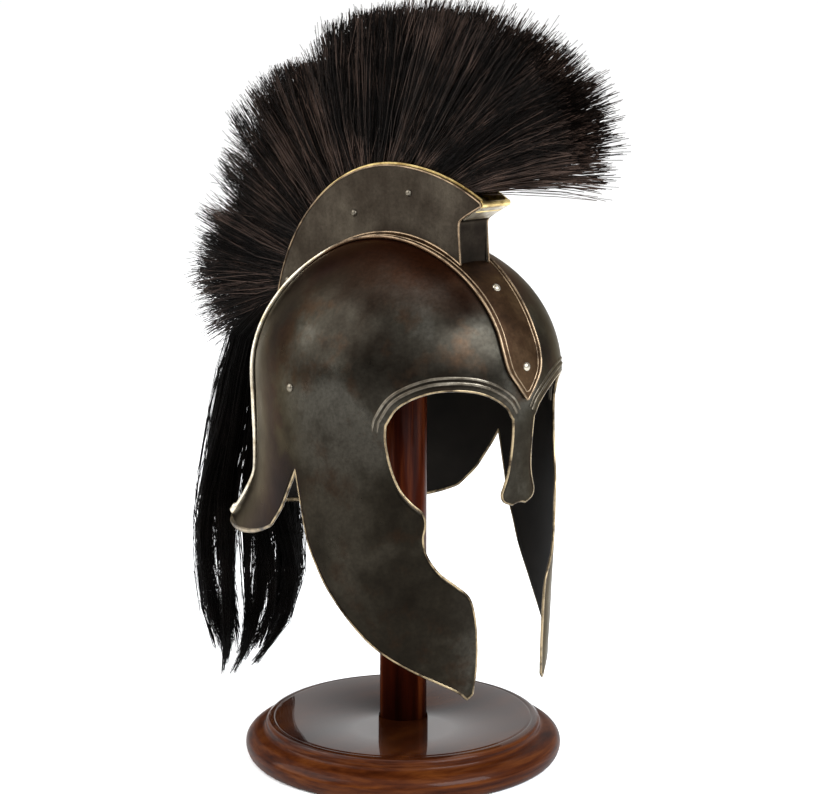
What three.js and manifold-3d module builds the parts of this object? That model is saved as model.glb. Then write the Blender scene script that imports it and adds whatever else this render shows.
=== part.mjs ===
// A Greek helmet of darkened bronze with a horsehair crest, on its turned wooden stand.
// Millimetres, +Z up. The origin is the middle of the stand's underside, and the face looks along -Y.
import * as THREE from "three";
import { mergeVertices } from "three/addons/utils/BufferGeometryUtils.js";
import Module from "manifold-3d";

const wasm = await Module();
wasm.setup();

// Driving dimensions of the stand
const baseRadius = 108;
const baseThickness = 26;
const baseTopRadius = 93;
const baseFootRadius = 102;
const baseStep = 2;
const postRadius = 16;
const socketDepth = 8;
const capRadius = 34;
const capThickness = 20;
const capRim = 8;

// Driving dimensions of the helmet
const chinClearance = 40;
const helmetHeight = 292;
const domeHeight = 93;
const frontReach = 106;
const backReach = 123;
const halfWidth = 96;
const bowlShift = -6;
const sheetThickness = 1.6;
const hemSwell = 0.7;

// Driving dimensions of the comb band, the crest box, the horsehair and the rivets
const bandThickness = 1.4;
const bandBead = 1;
const bandHalfWidth = 23.5;
const boxHalfWidth = 13;
const boxRise = 46;
const boxFrontReach = 60;
const boxLipReach = 19;
const boxLipThickness = 5;
const boxBackReach = 120;
const boxSink = 8;
const plateThickness = 1.5;
const liningThickness = 1;
const liningLip = 1.2;
const troughDepth = 9;
const hairLength = 104;
const hairRootDepth = 5;
const lockSpread = 21;
const lockBreadth = 11;
const lockTuck = 2.5;
const tailLength = 287;
const tailSpread = 52;
const tailDepth = 21;
const tailSwing = 48;
const tailHeadSetback = 12;
const tailHeadRise = 10;
const rivetRadius = 3;
const rivetRise = 1.8;
const clearance = 0.3;
const bandSeat = 0.9;

// Levels and roundness worked out from the sizes above
const chinLevel = baseThickness + chinClearance;
const crownLevel = chinLevel + helmetHeight;
const widestLevel = crownLevel - domeHeight;
const wallDepth = widestLevel - chinLevel;
const domeFullness = 2.15;
const frontRoundness = 2;
const backRoundness = 1.75;
const bowlCentre = new THREE.Vector3(0, bowlShift, widestLevel);

// Half sections of the helmet's skin, as shares of its three reaches. The level is 0 at the chin and 1
// where the bowl is widest, and the dome closes above that. The back flares out at the nape.
const skinSections = [
  { level: 0.0, front: 0.945, back: 1.26, side: 0.88 },
  { level: 0.17, front: 0.953, back: 1.27, side: 0.92 },
  { level: 0.32, front: 0.953, back: 1.3, side: 0.95 },
  { level: 0.42, front: 0.953, back: 1.3, side: 0.975 },
  { level: 0.52, front: 0.953, back: 1.145, side: 0.99 },
  { level: 0.62, front: 0.955, back: 1.025, side: 0.995 },
  { level: 0.74, front: 0.965, back: 0.98, side: 1.0 },
  { level: 0.88, front: 0.99, back: 0.985, side: 1.0 },
  { level: 1.0, front: 1.0, back: 0.995, side: 1.0 },
  { level: 1.13, front: 0.997, back: 0.962, side: 1.0 },
  { level: 1.25, front: 0.99, back: 0.92, side: 1.0 },
  { level: 1.38, front: 0.98, back: 0.885, side: 1.0 },
  { level: 1.5, front: 0.975, back: 0.87, side: 1.0 },
];

// The brow's edge over one eye, from the nasal to the eye's outer corner, in degrees from the midline.
const browEdge = [
  { angle: 0, level: 0.925 },
  { angle: 2.8, level: 0.923 },
  { angle: 5.6, level: 0.92 },
  { angle: 8.8, level: 0.958 },
  { angle: 14.8, level: 0.994 },
  { angle: 21, level: 1.016 },
  { angle: 27, level: 1.026 },
  { angle: 33, level: 1.028 },
  { angle: 39.6, level: 1.022 },
  { angle: 46.7, level: 1.0 },
  { angle: 52, level: 0.967 },
  { angle: 55.6, level: 0.915 },
];

// The nasal bar below the brow, down to its rounded spoon end.
const nasalRows = [
  { half: 5.6, level: 0.92 },
  { half: 5.2, level: 0.86 },
  { half: 5.4, level: 0.79 },
  { half: 6.3, level: 0.735 },
  { half: 7.8, level: 0.697 },
  { half: 8.8, level: 0.672 },
  { half: 7.7, level: 0.65 },
  { half: 4.2, level: 0.637 },
];

// Rows of the cheek guard, each from a point on its scalloped front edge to one on its long rear curve.
const cheekRows = [
  { front: 55.6, frontLevel: 0.915, rear: 95, rearLevel: 0.735 },
  { front: 55.6, frontLevel: 0.87, rear: 93.6, rearLevel: 0.685 },
  { front: 54.4, frontLevel: 0.815, rear: 92.2, rearLevel: 0.635 },
  { front: 52.3, frontLevel: 0.757, rear: 90, rearLevel: 0.565 },
  { front: 49.2, frontLevel: 0.702, rear: 87.6, rearLevel: 0.49 },
  { front: 44.9, frontLevel: 0.66, rear: 84.5, rearLevel: 0.43 },
  { front: 41.2, frontLevel: 0.632, rear: 80.9, rearLevel: 0.366 },
  { front: 40.0, frontLevel: 0.595, rear: 76.5, rearLevel: 0.31 },
  { front: 40.9, frontLevel: 0.545, rear: 71, rearLevel: 0.253 },
  { front: 39.6, frontLevel: 0.49, rear: 65, rearLevel: 0.2 },
  { front: 35.2, frontLevel: 0.432, rear: 59, rearLevel: 0.16 },
  { front: 29, frontLevel: 0.388, rear: 52, rearLevel: 0.125 },
  { front: 23.8, frontLevel: 0.348, rear: 44.3, rearLevel: 0.092 },
  { front: 21.6, frontLevel: 0.29, rear: 37.5, rearLevel: 0.066 },
  { front: 20.8, frontLevel: 0.2, rear: 31.5, rearLevel: 0.042 },
  { front: 21.2, frontLevel: 0.105, rear: 27.5, rearLevel: 0.022 },
  { front: 22.8, frontLevel: 0.02, rear: 25.2, rearLevel: 0.004 },
];

// Rows of the neck guard, each from a point on its slit's edge to the middle of the back.
const neckRows = [
  { slit: 95, slitLevel: 0.735, backLevel: 0.735 },
  { slit: 97.6, slitLevel: 0.695, backLevel: 0.675 },
  { slit: 100.2, slitLevel: 0.656, backLevel: 0.615 },
  { slit: 102.4, slitLevel: 0.62, backLevel: 0.56 },
  { slit: 104.4, slitLevel: 0.586, backLevel: 0.505 },
  { slit: 107.4, slitLevel: 0.545, backLevel: 0.455 },
  { slit: 108.4, slitLevel: 0.53, backLevel: 0.435 },
  { slit: 109.6, slitLevel: 0.514, backLevel: 0.42 },
];
const hemTurn = 5;

// Shares across each patch. The last narrow step next to a free edge carries the rolled hem.
const bowlShares = [0, 0.03, 0.1, 0.19, 0.28, 0.38, 0.48, 0.58, 0.68, 0.78, 0.87, 0.95, 1];
const cheekShares = [0, 0.06, 0.23, 0.41, 0.59, 0.77, 0.94, 1];
const neckShares = [0, 0.035, 0.11, 0.2, 0.3, 0.4, 0.5, 0.6, 0.7, 0.8, 0.9, 1];

// The comb band, from its leaf tip on the brow over the crown to the nape's hem. along is the share of
// that way, half the half width as a share of bandHalfWidth.
const bandStations = [
  { along: 0.0, half: 0.06 },
  { along: 0.02, half: 0.34 },
  { along: 0.045, half: 0.64 },
  { along: 0.075, half: 0.73 },
  { along: 0.11, half: 0.72 },
  { along: 0.17, half: 0.75 },
  { along: 0.25, half: 0.84 },
  { along: 0.34, half: 0.93 },
  { along: 0.45, half: 1.0 },
  { along: 0.53, half: 1.04 },
  { along: 0.6, half: 1.25 },
  { along: 0.68, half: 2.2 },
  { along: 0.76, half: 3.1 },
  { along: 0.84, half: 3.75 },
  { along: 0.92, half: 3.6 },
  { along: 0.97, half: 3.0 },
  { along: 1.0, half: 2.3 },
];
const bandSteps = 32;
const bandTipAngle = -2;
const bandNapeAngle = 214.5;
const bandCornerTurn = 5.5;

// The horsehair fan. along is the share of the trough, lean the lock's angle from upright, to the front
// positive, and length the share of hairLength.
const fanRows = [
  { along: 0.0, lean: 73, length: 0.92 },
  { along: 0.05, lean: 67, length: 1.02 },
  { along: 0.11, lean: 59, length: 1.08 },
  { along: 0.18, lean: 48, length: 1.12 },
  { along: 0.26, lean: 33, length: 1.08 },
  { along: 0.34, lean: 19, length: 1.04 },
  { along: 0.43, lean: 5, length: 1.0 },
  { along: 0.52, lean: -10, length: 0.94 },
  { along: 0.6, lean: -24, length: 0.91 },
  { along: 0.68, lean: -38, length: 0.95 },
  { along: 0.75, lean: -50, length: 0.93 },
  { along: 0.81, lean: -58, length: 0.76 },
  { along: 0.87, lean: -65, length: 0.94 },
  { along: 0.93, lean: -80, length: 1.0 },
  { along: 0.97, lean: -95, length: 0.93 },
  { along: 1.0, lean: -110, length: 0.72 },
];
const fanLocks = 25;

// A lock of the fan from its root to its tip, as shares of its length, spread and breadth.
const lockRings = [
  { out: 0.0, spread: 0.36, breadth: 0.55 },
  { out: 0.4, spread: 0.66, breadth: 0.85 },
  { out: 0.82, spread: 1.0, breadth: 1.0 },
  { out: 1.0, spread: 0.62, breadth: 0.5 },
];

// The hanging tail. drop is the share of its length, back that of its swing, spread and depth those of
// its half width and half thickness.
const tailRows = [
  { drop: 0.0, back: 0.0, spread: 0.14, depth: 0.28 },
  { drop: 0.08, back: 0.5, spread: 0.28, depth: 0.5 },
  { drop: 0.2, back: 0.66, spread: 0.46, depth: 0.62 },
  { drop: 0.36, back: 0.82, spread: 0.6, depth: 0.74 },
  { drop: 0.52, back: 0.96, spread: 0.72, depth: 0.7 },
  { drop: 0.66, back: 0.84, spread: 0.94, depth: 0.95 },
  { drop: 0.8, back: 0.82, spread: 0.78, depth: 0.88 },
  { drop: 0.91, back: 0.92, spread: 0.46, depth: 0.62 },
  { drop: 1.0, back: 1.0, spread: 0.16, depth: 0.25 },
];
const tailLocks = 7;

const bronze = new THREE.MeshStandardMaterial({ color: 0x35302a, roughness: 0.42, metalness: 0.85 });
const bandBronze = new THREE.MeshStandardMaterial({ color: 0x3c2a1d, roughness: 0.4, metalness: 0.85 });
const boxBronze = new THREE.MeshStandardMaterial({ color: 0x4a453c, roughness: 0.5, metalness: 0.8 });
const brass = new THREE.MeshStandardMaterial({ color: 0xb89a55, roughness: 0.35, metalness: 1 });
const horsehair = new THREE.MeshStandardMaterial({ color: 0x0d0c0c, roughness: 0.6, metalness: 0 });
const mahogany = new THREE.MeshStandardMaterial({ color: 0x4a1a0c, roughness: 0.15, metalness: 0 });

const part = new THREE.Group();

function addPiece(name, geometry, material) {
  const piece = new THREE.Mesh(geometry, material);
  piece.name = name;
  part.add(piece);
  return piece;
}

// The value of a table's column on a smooth curve through its rows.
function readTable(rows, key, column, at) {
  const last = rows.length - 1;
  if (at <= rows[0][key]) return rows[0][column];
  if (at >= rows[last][key]) return rows[last][column];
  const next = rows.findIndex((row) => row[key] >= at);
  const here = next - 1;
  const span = rows[next][key] - rows[here][key];
  const slope = (index) => {
    const low = Math.max(index - 1, 0);
    const high = Math.min(index + 1, last);
    return (rows[high][column] - rows[low][column]) / (rows[high][key] - rows[low][key]);
  };
  const share = (at - rows[here][key]) / span;
  const square = share * share;
  const cube = square * share;
  return (
    (2 * cube - 3 * square + 1) * rows[here][column] +
    (cube - 2 * square + share) * span * slope(here) +
    (3 * square - 2 * cube) * rows[next][column] +
    (cube - square) * span * slope(next)
  );
}

// The skin's half sizes at a height.
function reachesAt(height) {
  const level = (height - chinLevel) / wallDepth;
  const rise = THREE.MathUtils.clamp((height - widestLevel) / domeHeight, 0, 1);
  const dome = Math.sqrt(1 - rise ** domeFullness);
  return {
    front: frontReach * readTable(skinSections, "level", "front", level) * dome,
    back: backReach * readTable(skinSections, "level", "back", level) * dome,
    side: halfWidth * readTable(skinSections, "level", "side", level) * dome,
  };
}

// A point on the helmet's skin, by its angle from the front midline and its level.
function skinPoint(angle, level) {
  const height = chinLevel + wallDepth * level;
  const reach = reachesAt(height);
  const turn = THREE.MathUtils.degToRad(angle);
  const ahead = Math.cos(turn);
  const aside = Math.sin(turn);
  const power = ahead > 0 ? 2 / frontRoundness : 2 / backRoundness;
  const length = ahead > 0 ? reach.front : reach.back;
  return new THREE.Vector3(
    reach.side * Math.sign(aside) * Math.abs(aside) ** power,
    bowlShift - length * Math.sign(ahead) * Math.abs(ahead) ** power,
    height,
  );
}

function isInsideSkin(point) {
  if (point.z >= crownLevel) return false;
  const reach = reachesAt(point.z);
  const ahead = bowlShift - point.y;
  const power = ahead > 0 ? frontRoundness : backRoundness;
  const length = ahead > 0 ? reach.front : reach.back;
  return Math.abs(point.x / reach.side) ** power + Math.abs(ahead / length) ** power < 1;
}

// Where a ray from the middle of the bowl meets the skin, moved out by a stand-off.
function skinAlong(direction, standOff) {
  let near = 0;
  let far = 2 * backReach;
  for (let step = 0; step < 40; step += 1) {
    const middle = (near + far) / 2;
    const point = bowlCentre.clone().addScaledVector(direction, middle);
    if (isInsideSkin(point)) near = middle;
    else far = middle;
  }
  return bowlCentre.clone().addScaledVector(direction, near + standOff);
}

// A direction over the midline, from 0 at the front through 90 at the crown, turned aside by an angle.
function overBowl(pitch, aside) {
  const pitchTurn = THREE.MathUtils.degToRad(pitch);
  return new THREE.Vector3(
    Math.sin(aside),
    -Math.cos(aside) * Math.cos(pitchTurn),
    Math.cos(aside) * Math.sin(pitchTurn),
  );
}

// The height of the skin over a place beside the midline.
function skinHeight(x, y) {
  let low = chinLevel;
  let high = crownLevel;
  for (let step = 0; step < 40; step += 1) {
    const middle = (low + high) / 2;
    if (middle < widestLevel || isInsideSkin(new THREE.Vector3(x, y, middle))) low = middle;
    else high = middle;
  }
  return low;
}

function geometryFrom(points, triangles) {
  const geometry = new THREE.BufferGeometry().setFromPoints(points);
  geometry.setIndex(triangles.flat());
  return geometry;
}

// A closed wall from an open sheet of points and triangles. outerOf and innerOf give how far the wall's
// two faces lie out from the sheet at a point, which is told whether it is on a free edge.
function closedWall(points, triangles, outerOf, innerOf) {
  const sheet = mergeVertices(geometryFrom(points, triangles), 0.001);
  sheet.computeVertexNormals();
  const place = sheet.getAttribute("position");
  const normal = sheet.getAttribute("normal");
  const index = sheet.getIndex().array;
  const edges = new Map();
  const faces = [];
  for (let start = 0; start < index.length; start += 3) {
    const corners = [index[start], index[start + 1], index[start + 2]];
    if (new Set(corners).size < 3) continue;
    faces.push(corners);
    corners.forEach((from, side) => {
      const to = corners[(side + 1) % 3];
      edges.set(`${from}_${to}`, [from, to]);
    });
  }
  const freeEdges = [...edges.values()].filter(([from, to]) => !edges.has(`${to}_${from}`));
  const onEdge = new Set(freeEdges.flat());
  const outer = [];
  const inner = [];
  for (let item = 0; item < place.count; item += 1) {
    const spot = new THREE.Vector3().fromBufferAttribute(place, item);
    const away = new THREE.Vector3().fromBufferAttribute(normal, item);
    outer.push(spot.clone().addScaledVector(away, outerOf(onEdge.has(item), item)));
    inner.push(spot.clone().addScaledVector(away, innerOf(onEdge.has(item), item)));
  }
  const closed = [];
  for (const [first, second, third] of faces) {
    closed.push([first, second, third]);
    closed.push([first + place.count, third + place.count, second + place.count]);
  }
  for (const [from, to] of freeEdges) {
    closed.push([to, from, from + place.count]);
    closed.push([to, from + place.count, to + place.count]);
  }
  return geometryFrom([...outer, ...inner], closed);
}

// The triangles of a grid of rows, each row with as many points as the next.
function gridTriangles(rows, columns, firstIndex = 0) {
  const triangles = [];
  for (let row = 0; row + 1 < rows; row += 1) {
    for (let column = 0; column + 1 < columns; column += 1) {
      const corner = firstIndex + row * columns + column;
      triangles.push([corner, corner + 1, corner + columns + 1]);
      triangles.push([corner, corner + columns + 1, corner + columns]);
    }
  }
  return triangles;
}

// A closed loft through rings of points that run anticlockwise seen from the loft's far end.
function loft(rings) {
  const around = rings[0].length;
  const points = rings.flat();
  const triangles = [];
  for (let ring = 0; ring + 1 < rings.length; ring += 1) {
    for (let side = 0; side < around; side += 1) {
      const here = ring * around + side;
      const beside = ring * around + ((side + 1) % around);
      triangles.push([here, beside, beside + around]);
      triangles.push([here, beside + around, here + around]);
    }
  }
  const end = (rings.length - 1) * around;
  for (let side = 1; side + 1 < around; side += 1) {
    triangles.push([0, side + 1, side]);
    triangles.push([end, end + side, end + side + 1]);
  }
  return geometryFrom(points, triangles);
}

function toSolid(geometry) {
  const bare = geometry.clone();
  bare.deleteAttribute("normal");
  bare.deleteAttribute("uv");
  const merged = mergeVertices(bare, 0.0001);
  const mesh = new wasm.Mesh({
    numProp: 3,
    vertProperties: Float32Array.from(merged.getAttribute("position").array),
    triVerts: Uint32Array.from(merged.getIndex().array),
  });
  return new wasm.Manifold(mesh);
}

function toGeometry(solid) {
  const mesh = solid.getMesh();
  const geometry = new THREE.BufferGeometry();
  geometry.setAttribute("position", new THREE.BufferAttribute(Float32Array.from(mesh.vertProperties), 3));
  geometry.setIndex([...mesh.triVerts]);
  return geometry;
}

// A turned piece: the profile holds radii and heights, from the axis back to the axis.
function turned(profile, sides) {
  const outline = profile.map(([radius, height]) => new THREE.Vector2(radius, height));
  return new THREE.LatheGeometry(outline, sides).rotateX(Math.PI / 2);
}

// A prism across the midline from an outline in y and z.
function acrossMidline(outline, halfSpan) {
  const shape = new THREE.Shape(outline);
  const prism = new THREE.ExtrudeGeometry(shape, { depth: 2 * halfSpan, bevelEnabled: false, curveSegments: 1 });
  prism.rotateX(Math.PI / 2).rotateZ(Math.PI / 2);
  return prism.translate(-halfSpan, 0, 0);
}

// The turned base: bead, cove and rounded rim, with a socket for the post.
function makeBase() {
  const profile = [
    [0, baseThickness - socketDepth],
    [postRadius + clearance, baseThickness - socketDepth],
    [postRadius + clearance, baseThickness],
    [baseTopRadius - 3 * baseStep, baseThickness],
    [baseTopRadius - 2.5 * baseStep, baseThickness - 0.5],
    [baseTopRadius - 2 * baseStep, baseThickness],
    [baseTopRadius, baseThickness - 0.8],
    [baseTopRadius + 1, baseThickness - 2 * baseStep],
    [baseTopRadius + 2, baseThickness - 3.5 * baseStep],
  ];
  const rimHeight = baseThickness - 4 * baseStep;
  const rimMiddle = rimHeight / 2;
  const rimArc = 6;
  for (let step = 0; step <= rimArc; step += 1) {
    const turn = Math.PI * (0.5 - step / rimArc);
    const rest = step > rimArc / 2 ? baseFootRadius : baseTopRadius + 4;
    profile.push([
      rest + (baseRadius - rest) * Math.cos(turn),
      rimMiddle + rimMiddle * Math.sin(turn),
    ]);
  }
  profile.push([0, 0]);
  return turned(profile.reverse(), 36);
}

const capTop = crownLevel - sheetThickness - clearance;
const capBottom = capTop - capThickness;

function makePost() {
  const foot = baseThickness - socketDepth + clearance;
  const head = capBottom - clearance;
  return turned([[0, foot], [postRadius, foot], [postRadius, head], [0, head]], 24);
}

// The rest under the crown, a low dome that the bowl sits on.
function makeCap() {
  const steps = 4;
  const dome = [];
  for (let step = steps; step >= 0; step -= 1) {
    const share = step / steps;
    dome.push([capRadius * share, capTop - (capThickness - capRim) * share ** 2]);
  }
  return turned([[0, capBottom], [capRadius - 2, capBottom], [capRadius, capBottom + 2], ...dome], 16);
}

// The bowl's lower edge at an angle: the brow, the line across the temple, or the line to the nape.
function bowlEdgeAt(angle) {
  const eyeCorner = browEdge[browEdge.length - 1];
  const slit = neckRows[0];
  if (angle <= eyeCorner.angle) return readTable(browEdge, "angle", "level", angle);
  if (angle >= slit.slit) return slit.slitLevel;
  const share = (angle - eyeCorner.angle) / (slit.slit - eyeCorner.angle);
  return eyeCorner.level + share * (slit.slitLevel - eyeCorner.level);
}

// The level on a meridian, from its lower edge at share 0 to the crown at share 1, evenly along the skin.
function meridianLevel(edgeLevel, share) {
  const domeShare = domeHeight / wallDepth;
  const quarter = Math.PI / 2;
  const domeArc = (quarter * (frontReach + domeHeight)) / 2;
  const start =
    edgeLevel < 1
      ? ((edgeLevel - 1) * wallDepth) / domeArc
      : Math.asin((edgeLevel - 1) / domeShare) / quarter;
  const way = start + (1 - start) * share;
  return way < 0 ? 1 + (way * domeArc) / wallDepth : 1 + domeShare * Math.sin(way * quarter);
}

// One half of the shell's skin, as grids of angles and levels.
function halfShellGrids() {
  const eyeCorner = browEdge[browEdge.length - 1].angle;
  const slit = neckRows[0].slit;
  const angles = [
    ...browEdge.map((row) => row.angle),
    ...cheekShares.slice(1).map((share) => eyeCorner + share * (slit - eyeCorner)),
    ...neckShares.slice(1).map((share) => slit + share * (180 - slit)),
  ];
  const bowl = bowlShares.map((share) =>
    angles.map((angle) => [angle, meridianLevel(bowlEdgeAt(angle), share)]),
  );
  const cheek = cheekRows.map((row) =>
    cheekShares.map((share) => [
      row.front + share * (row.rear - row.front),
      row.frontLevel + share * (row.rearLevel - row.frontLevel),
    ]),
  );
  const neck = neckRows.map((row) =>
    neckShares.map((share) => [
      row.slit + share * (180 - row.slit),
      row.backLevel + (row.slitLevel - row.backLevel) * (1 - share) ** hemTurn,
    ]),
  );
  const root = nasalRows[0];
  const nasal = nasalRows.map((row) =>
    [0, 0.5, 1].map((share) => [share * row.half, row.level + bowlEdgeAt(share * root.half) - root.level]),
  );
  return [bowl, cheek.reverse(), neck.reverse(), nasal.reverse()];
}

// The shell's wall, grown outwards by a margin.
function shellWall(margin) {
  const points = [];
  const triangles = [];
  for (const grid of halfShellGrids()) {
    for (const side of [1, -1]) {
      const first = points.length;
      for (const row of grid) for (const [angle, level] of row) points.push(skinPoint(side * angle, level));
      const faces = gridTriangles(grid.length, grid[0].length, first);
      triangles.push(...(side > 0 ? faces : faces.map(([one, two, three]) => [one, three, two])));
    }
  }
  const outerOf = (onEdge) => margin + (onEdge ? hemSwell : 0);
  const innerOf = (onEdge) => -sheetThickness - (onEdge ? hemSwell : 0);
  return closedWall(points, triangles, outerOf, innerOf);
}

// The shell: bowl, cheek guards, nasal and neck guard, hammered from one sheet with a rolled hem.
function makeShell() {
  return shellWall(0);
}

// The comb band's half width at a share of its way.
function bandHalfAt(along) {
  return bandHalfWidth * readTable(bandStations, "along", "half", along);
}

// The comb band's seat on the bowl, as a sheet of points with the rise of its beads.
function bandSheet() {
  const across = [-1, -0.96, -0.91, -0.7, -0.47, -0.23, 0, 0.23, 0.47, 0.7, 0.91, 0.96, 1];
  const beads = [0, 1, 0, 0, 0, 0, 0, 0, 0, 0, 0, 1, 0];
  const points = [];
  const rises = [];
  for (let step = 0; step <= bandSteps; step += 1) {
    const along = step / bandSteps;
    across.forEach((share, item) => {
      const nape = bandNapeAngle + bandCornerTurn * share * share;
      const pitch = bandTipAngle + along * (nape - bandTipAngle);
      const reach = skinAlong(overBowl(pitch, 0), 0).distanceTo(bowlCentre);
      const aside = Math.atan((share * bandHalfAt(along)) / reach);
      points.push(skinAlong(overBowl(pitch, aside), bandSeat));
      rises.push(beads[item] * bandBead);
    });
  }
  return { points, rises, triangles: gridTriangles(bandSteps + 1, across.length) };
}

// The comb band: a raised strip with a beaded edge, laid over the bowl and cleared where they meet.
function makeBand() {
  const { points, rises, triangles } = bandSheet();
  const strip = closedWall(points, triangles, (_, item) => bandThickness + rises[item], () => 0);
  return toGeometry(toSolid(strip).subtract(toSolid(shellWall(clearance))));
}

// The room that the band and the bowl under it take up, with the clearance that pieces on them keep.
function makeBandZone() {
  const { points, triangles } = bandSheet();
  return toSolid(closedWall(points, triangles, () => bandThickness + clearance, () => -boxSink));
}

// The crest box's top edge in y and z, an egg-shaped arc. The turn is 0 at the back and 90 at the top.
const crestMiddle = bowlShift + 1;
const crestFloor = widestLevel + 15;
const crestTop = crownLevel + boxRise;
const crestFrontHalf = 147;

function crestArc(turn, inset) {
  const angle = THREE.MathUtils.degToRad(turn);
  const half = Math.cos(angle) < 0 ? crestFrontHalf : boxBackReach;
  return new THREE.Vector2(
    crestMiddle + (half - inset) * Math.cos(angle),
    crestFloor + (crestTop - crestFloor - inset) * Math.sin(angle),
  );
}

const crestLipTurn = 180 - THREE.MathUtils.radToDeg(Math.acos((boxFrontReach + boxLipReach) / crestFrontHalf));
const crestTipTurn = 5;
const crestSteps = 20;

// The arc's points from a back turn to a front turn.
function crestLine(inset, fromTurn, toTurn) {
  const line = [];
  for (let step = 0; step <= crestSteps; step += 1) {
    line.push(crestArc(fromTurn + (step / crestSteps) * (toTurn - fromTurn), inset));
  }
  return line;
}

// The box's lower edge from front to back, sunk below the band's top, which then trims it.
function boxFoot() {
  const line = [];
  const front = crestMiddle - boxFrontReach;
  const back = crestArc(crestTipTurn, 0).x - boxSink;
  const steps = 12;
  for (let step = 0; step <= steps; step += 1) {
    const y = front + (step / steps) * (back - front);
    line.push(new THREE.Vector2(y, skinHeight(0, y) - boxSink / 2));
  }
  return line;
}

// The side outline of the crest box: top arc, rounded lip, coved front and the foot over the band.
function boxOutline() {
  const lip = crestArc(crestLipTurn, 0);
  const front = crestMiddle - boxFrontReach;
  const cove = [
    new THREE.Vector2(lip.x - 0.6, lip.y - boxLipThickness * 0.45),
    new THREE.Vector2(lip.x + 1.6, lip.y - boxLipThickness),
    new THREE.Vector2(front - boxLipReach * 0.52, lip.y - boxLipThickness * 1.8),
    new THREE.Vector2(front - boxLipReach * 0.18, lip.y - boxLipThickness * 3),
    new THREE.Vector2(front, lip.y - boxLipThickness * 4.6),
  ];
  return [...crestLine(0, crestTipTurn, crestLipTurn), ...cove, ...boxFoot()];
}

// The crest box: two side plates and a front plate round an open trough, and hollow below its floor.
function makeBox() {
  const body = toSolid(acrossMidline(boxOutline(), boxHalfWidth));
  const inside = boxHalfWidth - plateThickness;
  const front = crestMiddle - boxFrontReach + plateThickness;
  const over = 30;
  const troughFloor = crestLine(troughDepth, crestTipTurn - 3, crestLipTurn);
  const lip = crestArc(crestLipTurn, 0);
  const trough = [
    ...troughFloor,
    new THREE.Vector2(lip.x + plateThickness, lip.y - troughDepth / 2),
    new THREE.Vector2(lip.x + plateThickness, lip.y + over),
    new THREE.Vector2(crestMiddle, crestTop + over),
    new THREE.Vector2(crestMiddle + boxBackReach + over, crestTop + over),
    new THREE.Vector2(crestMiddle + boxBackReach + over, crestArc(crestTipTurn, 0).y),
  ];
  const ceiling = crestLine(troughDepth + plateThickness, 32, 120).filter((spot) => spot.x > front);
  const hollow = [
    ...ceiling,
    new THREE.Vector2(front, ceiling[ceiling.length - 1].y),
    new THREE.Vector2(front, crestFloor),
    new THREE.Vector2(ceiling[0].x, crestFloor),
  ];
  const troughSolid = toSolid(acrossMidline(trough, inside));
  const hollowSolid = toSolid(acrossMidline(hollow, inside));
  return toGeometry(body.subtract(troughSolid).subtract(hollowSolid).subtract(makeBandZone()));
}

const liningHalf = boxHalfWidth - plateThickness - clearance;
const liningFloor = troughDepth - clearance;
const liningBackTurn = crestTipTurn + 9;
const liningFrontTurn = crestLipTurn - 2;

// A strip between two insets of the crest's arc, as a prism across the midline.
function arcStrip(outerInset, innerInset, backTurn, frontTurn, halfSpan) {
  const outline = [
    ...crestLine(outerInset, backTurn, frontTurn),
    ...crestLine(innerInset, backTurn, frontTurn).reverse(),
  ];
  return toSolid(acrossMidline(outline, halfSpan));
}

// The brass lining of the trough, whose lips show above the side plates.
function makeLining() {
  const over = 2 * liningLip;
  const channel = arcStrip(-liningLip, liningFloor, liningBackTurn, liningFrontTurn, liningHalf);
  const inside = arcStrip(
    -over,
    liningFloor - liningThickness,
    liningBackTurn - 1,
    liningFrontTurn + 1,
    liningHalf - liningThickness,
  );
  return toGeometry(channel.subtract(inside));
}

// A ring of points round a centre, across a direction that lies in the midline's plane.
function ovalRing(centre, direction, halfAcross, halfDeep, sides) {
  const deep = new THREE.Vector3().crossVectors(direction, new THREE.Vector3(1, 0, 0));
  const ring = [];
  for (let side = 0; side < sides; side += 1) {
    const turn = (2 * Math.PI * side) / sides;
    const spot = centre.clone().addScaledVector(deep, halfDeep * Math.sin(turn));
    spot.x += halfAcross * Math.cos(turn);
    ring.push(spot);
  }
  return ring;
}

// One lock of the fan, at a share of the trough's length, grown all round by a margin.
function fanLock(along, trim, margin = 0) {
  const turn = liningBackTurn + (1 - along) * (liningFrontTurn - liningBackTurn);
  const root = crestArc(turn, hairRootDepth);
  const lean = THREE.MathUtils.degToRad(readTable(fanRows, "along", "lean", along));
  const length = hairLength * readTable(fanRows, "along", "length", along) * trim + hairRootDepth;
  const direction = new THREE.Vector3(0, -Math.sin(lean), Math.cos(lean));
  const rings = lockRings.map((ring) => {
    const centre = new THREE.Vector3(0, root.x, root.y).addScaledVector(direction, length * ring.out);
    return ovalRing(
      centre,
      direction,
      lockSpread * ring.spread + margin,
      lockBreadth * ring.breadth + margin,
      6,
    );
  });
  return toSolid(loft(rings));
}

// The fan: locks side by side along the trough, fused to a backing that lies in its lining.
function makeFan() {
  const locks = [];
  for (let item = 0; item < fanLocks; item += 1) {
    const trim = item % 2 === 0 ? 1 : 0.95;
    locks.push(fanLock(item / (fanLocks - 1), trim));
  }
  const aboveLips = -liningLip - clearance;
  const beyondLip = 2;
  const under = [
    ...crestLine(aboveLips, crestTipTurn - 12, crestLipTurn + beyondLip),
    new THREE.Vector2(crestMiddle, widestLevel),
  ];
  const boxZone = toSolid(acrossMidline(under, 2 * lockSpread));
  const backing = arcStrip(
    -lockTuck,
    liningFloor - liningThickness - clearance,
    liningBackTurn,
    liningFrontTurn,
    liningHalf - liningThickness - clearance,
  );
  return toGeometry(wasm.Manifold.union(locks).subtract(boxZone).add(backing));
}

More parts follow.
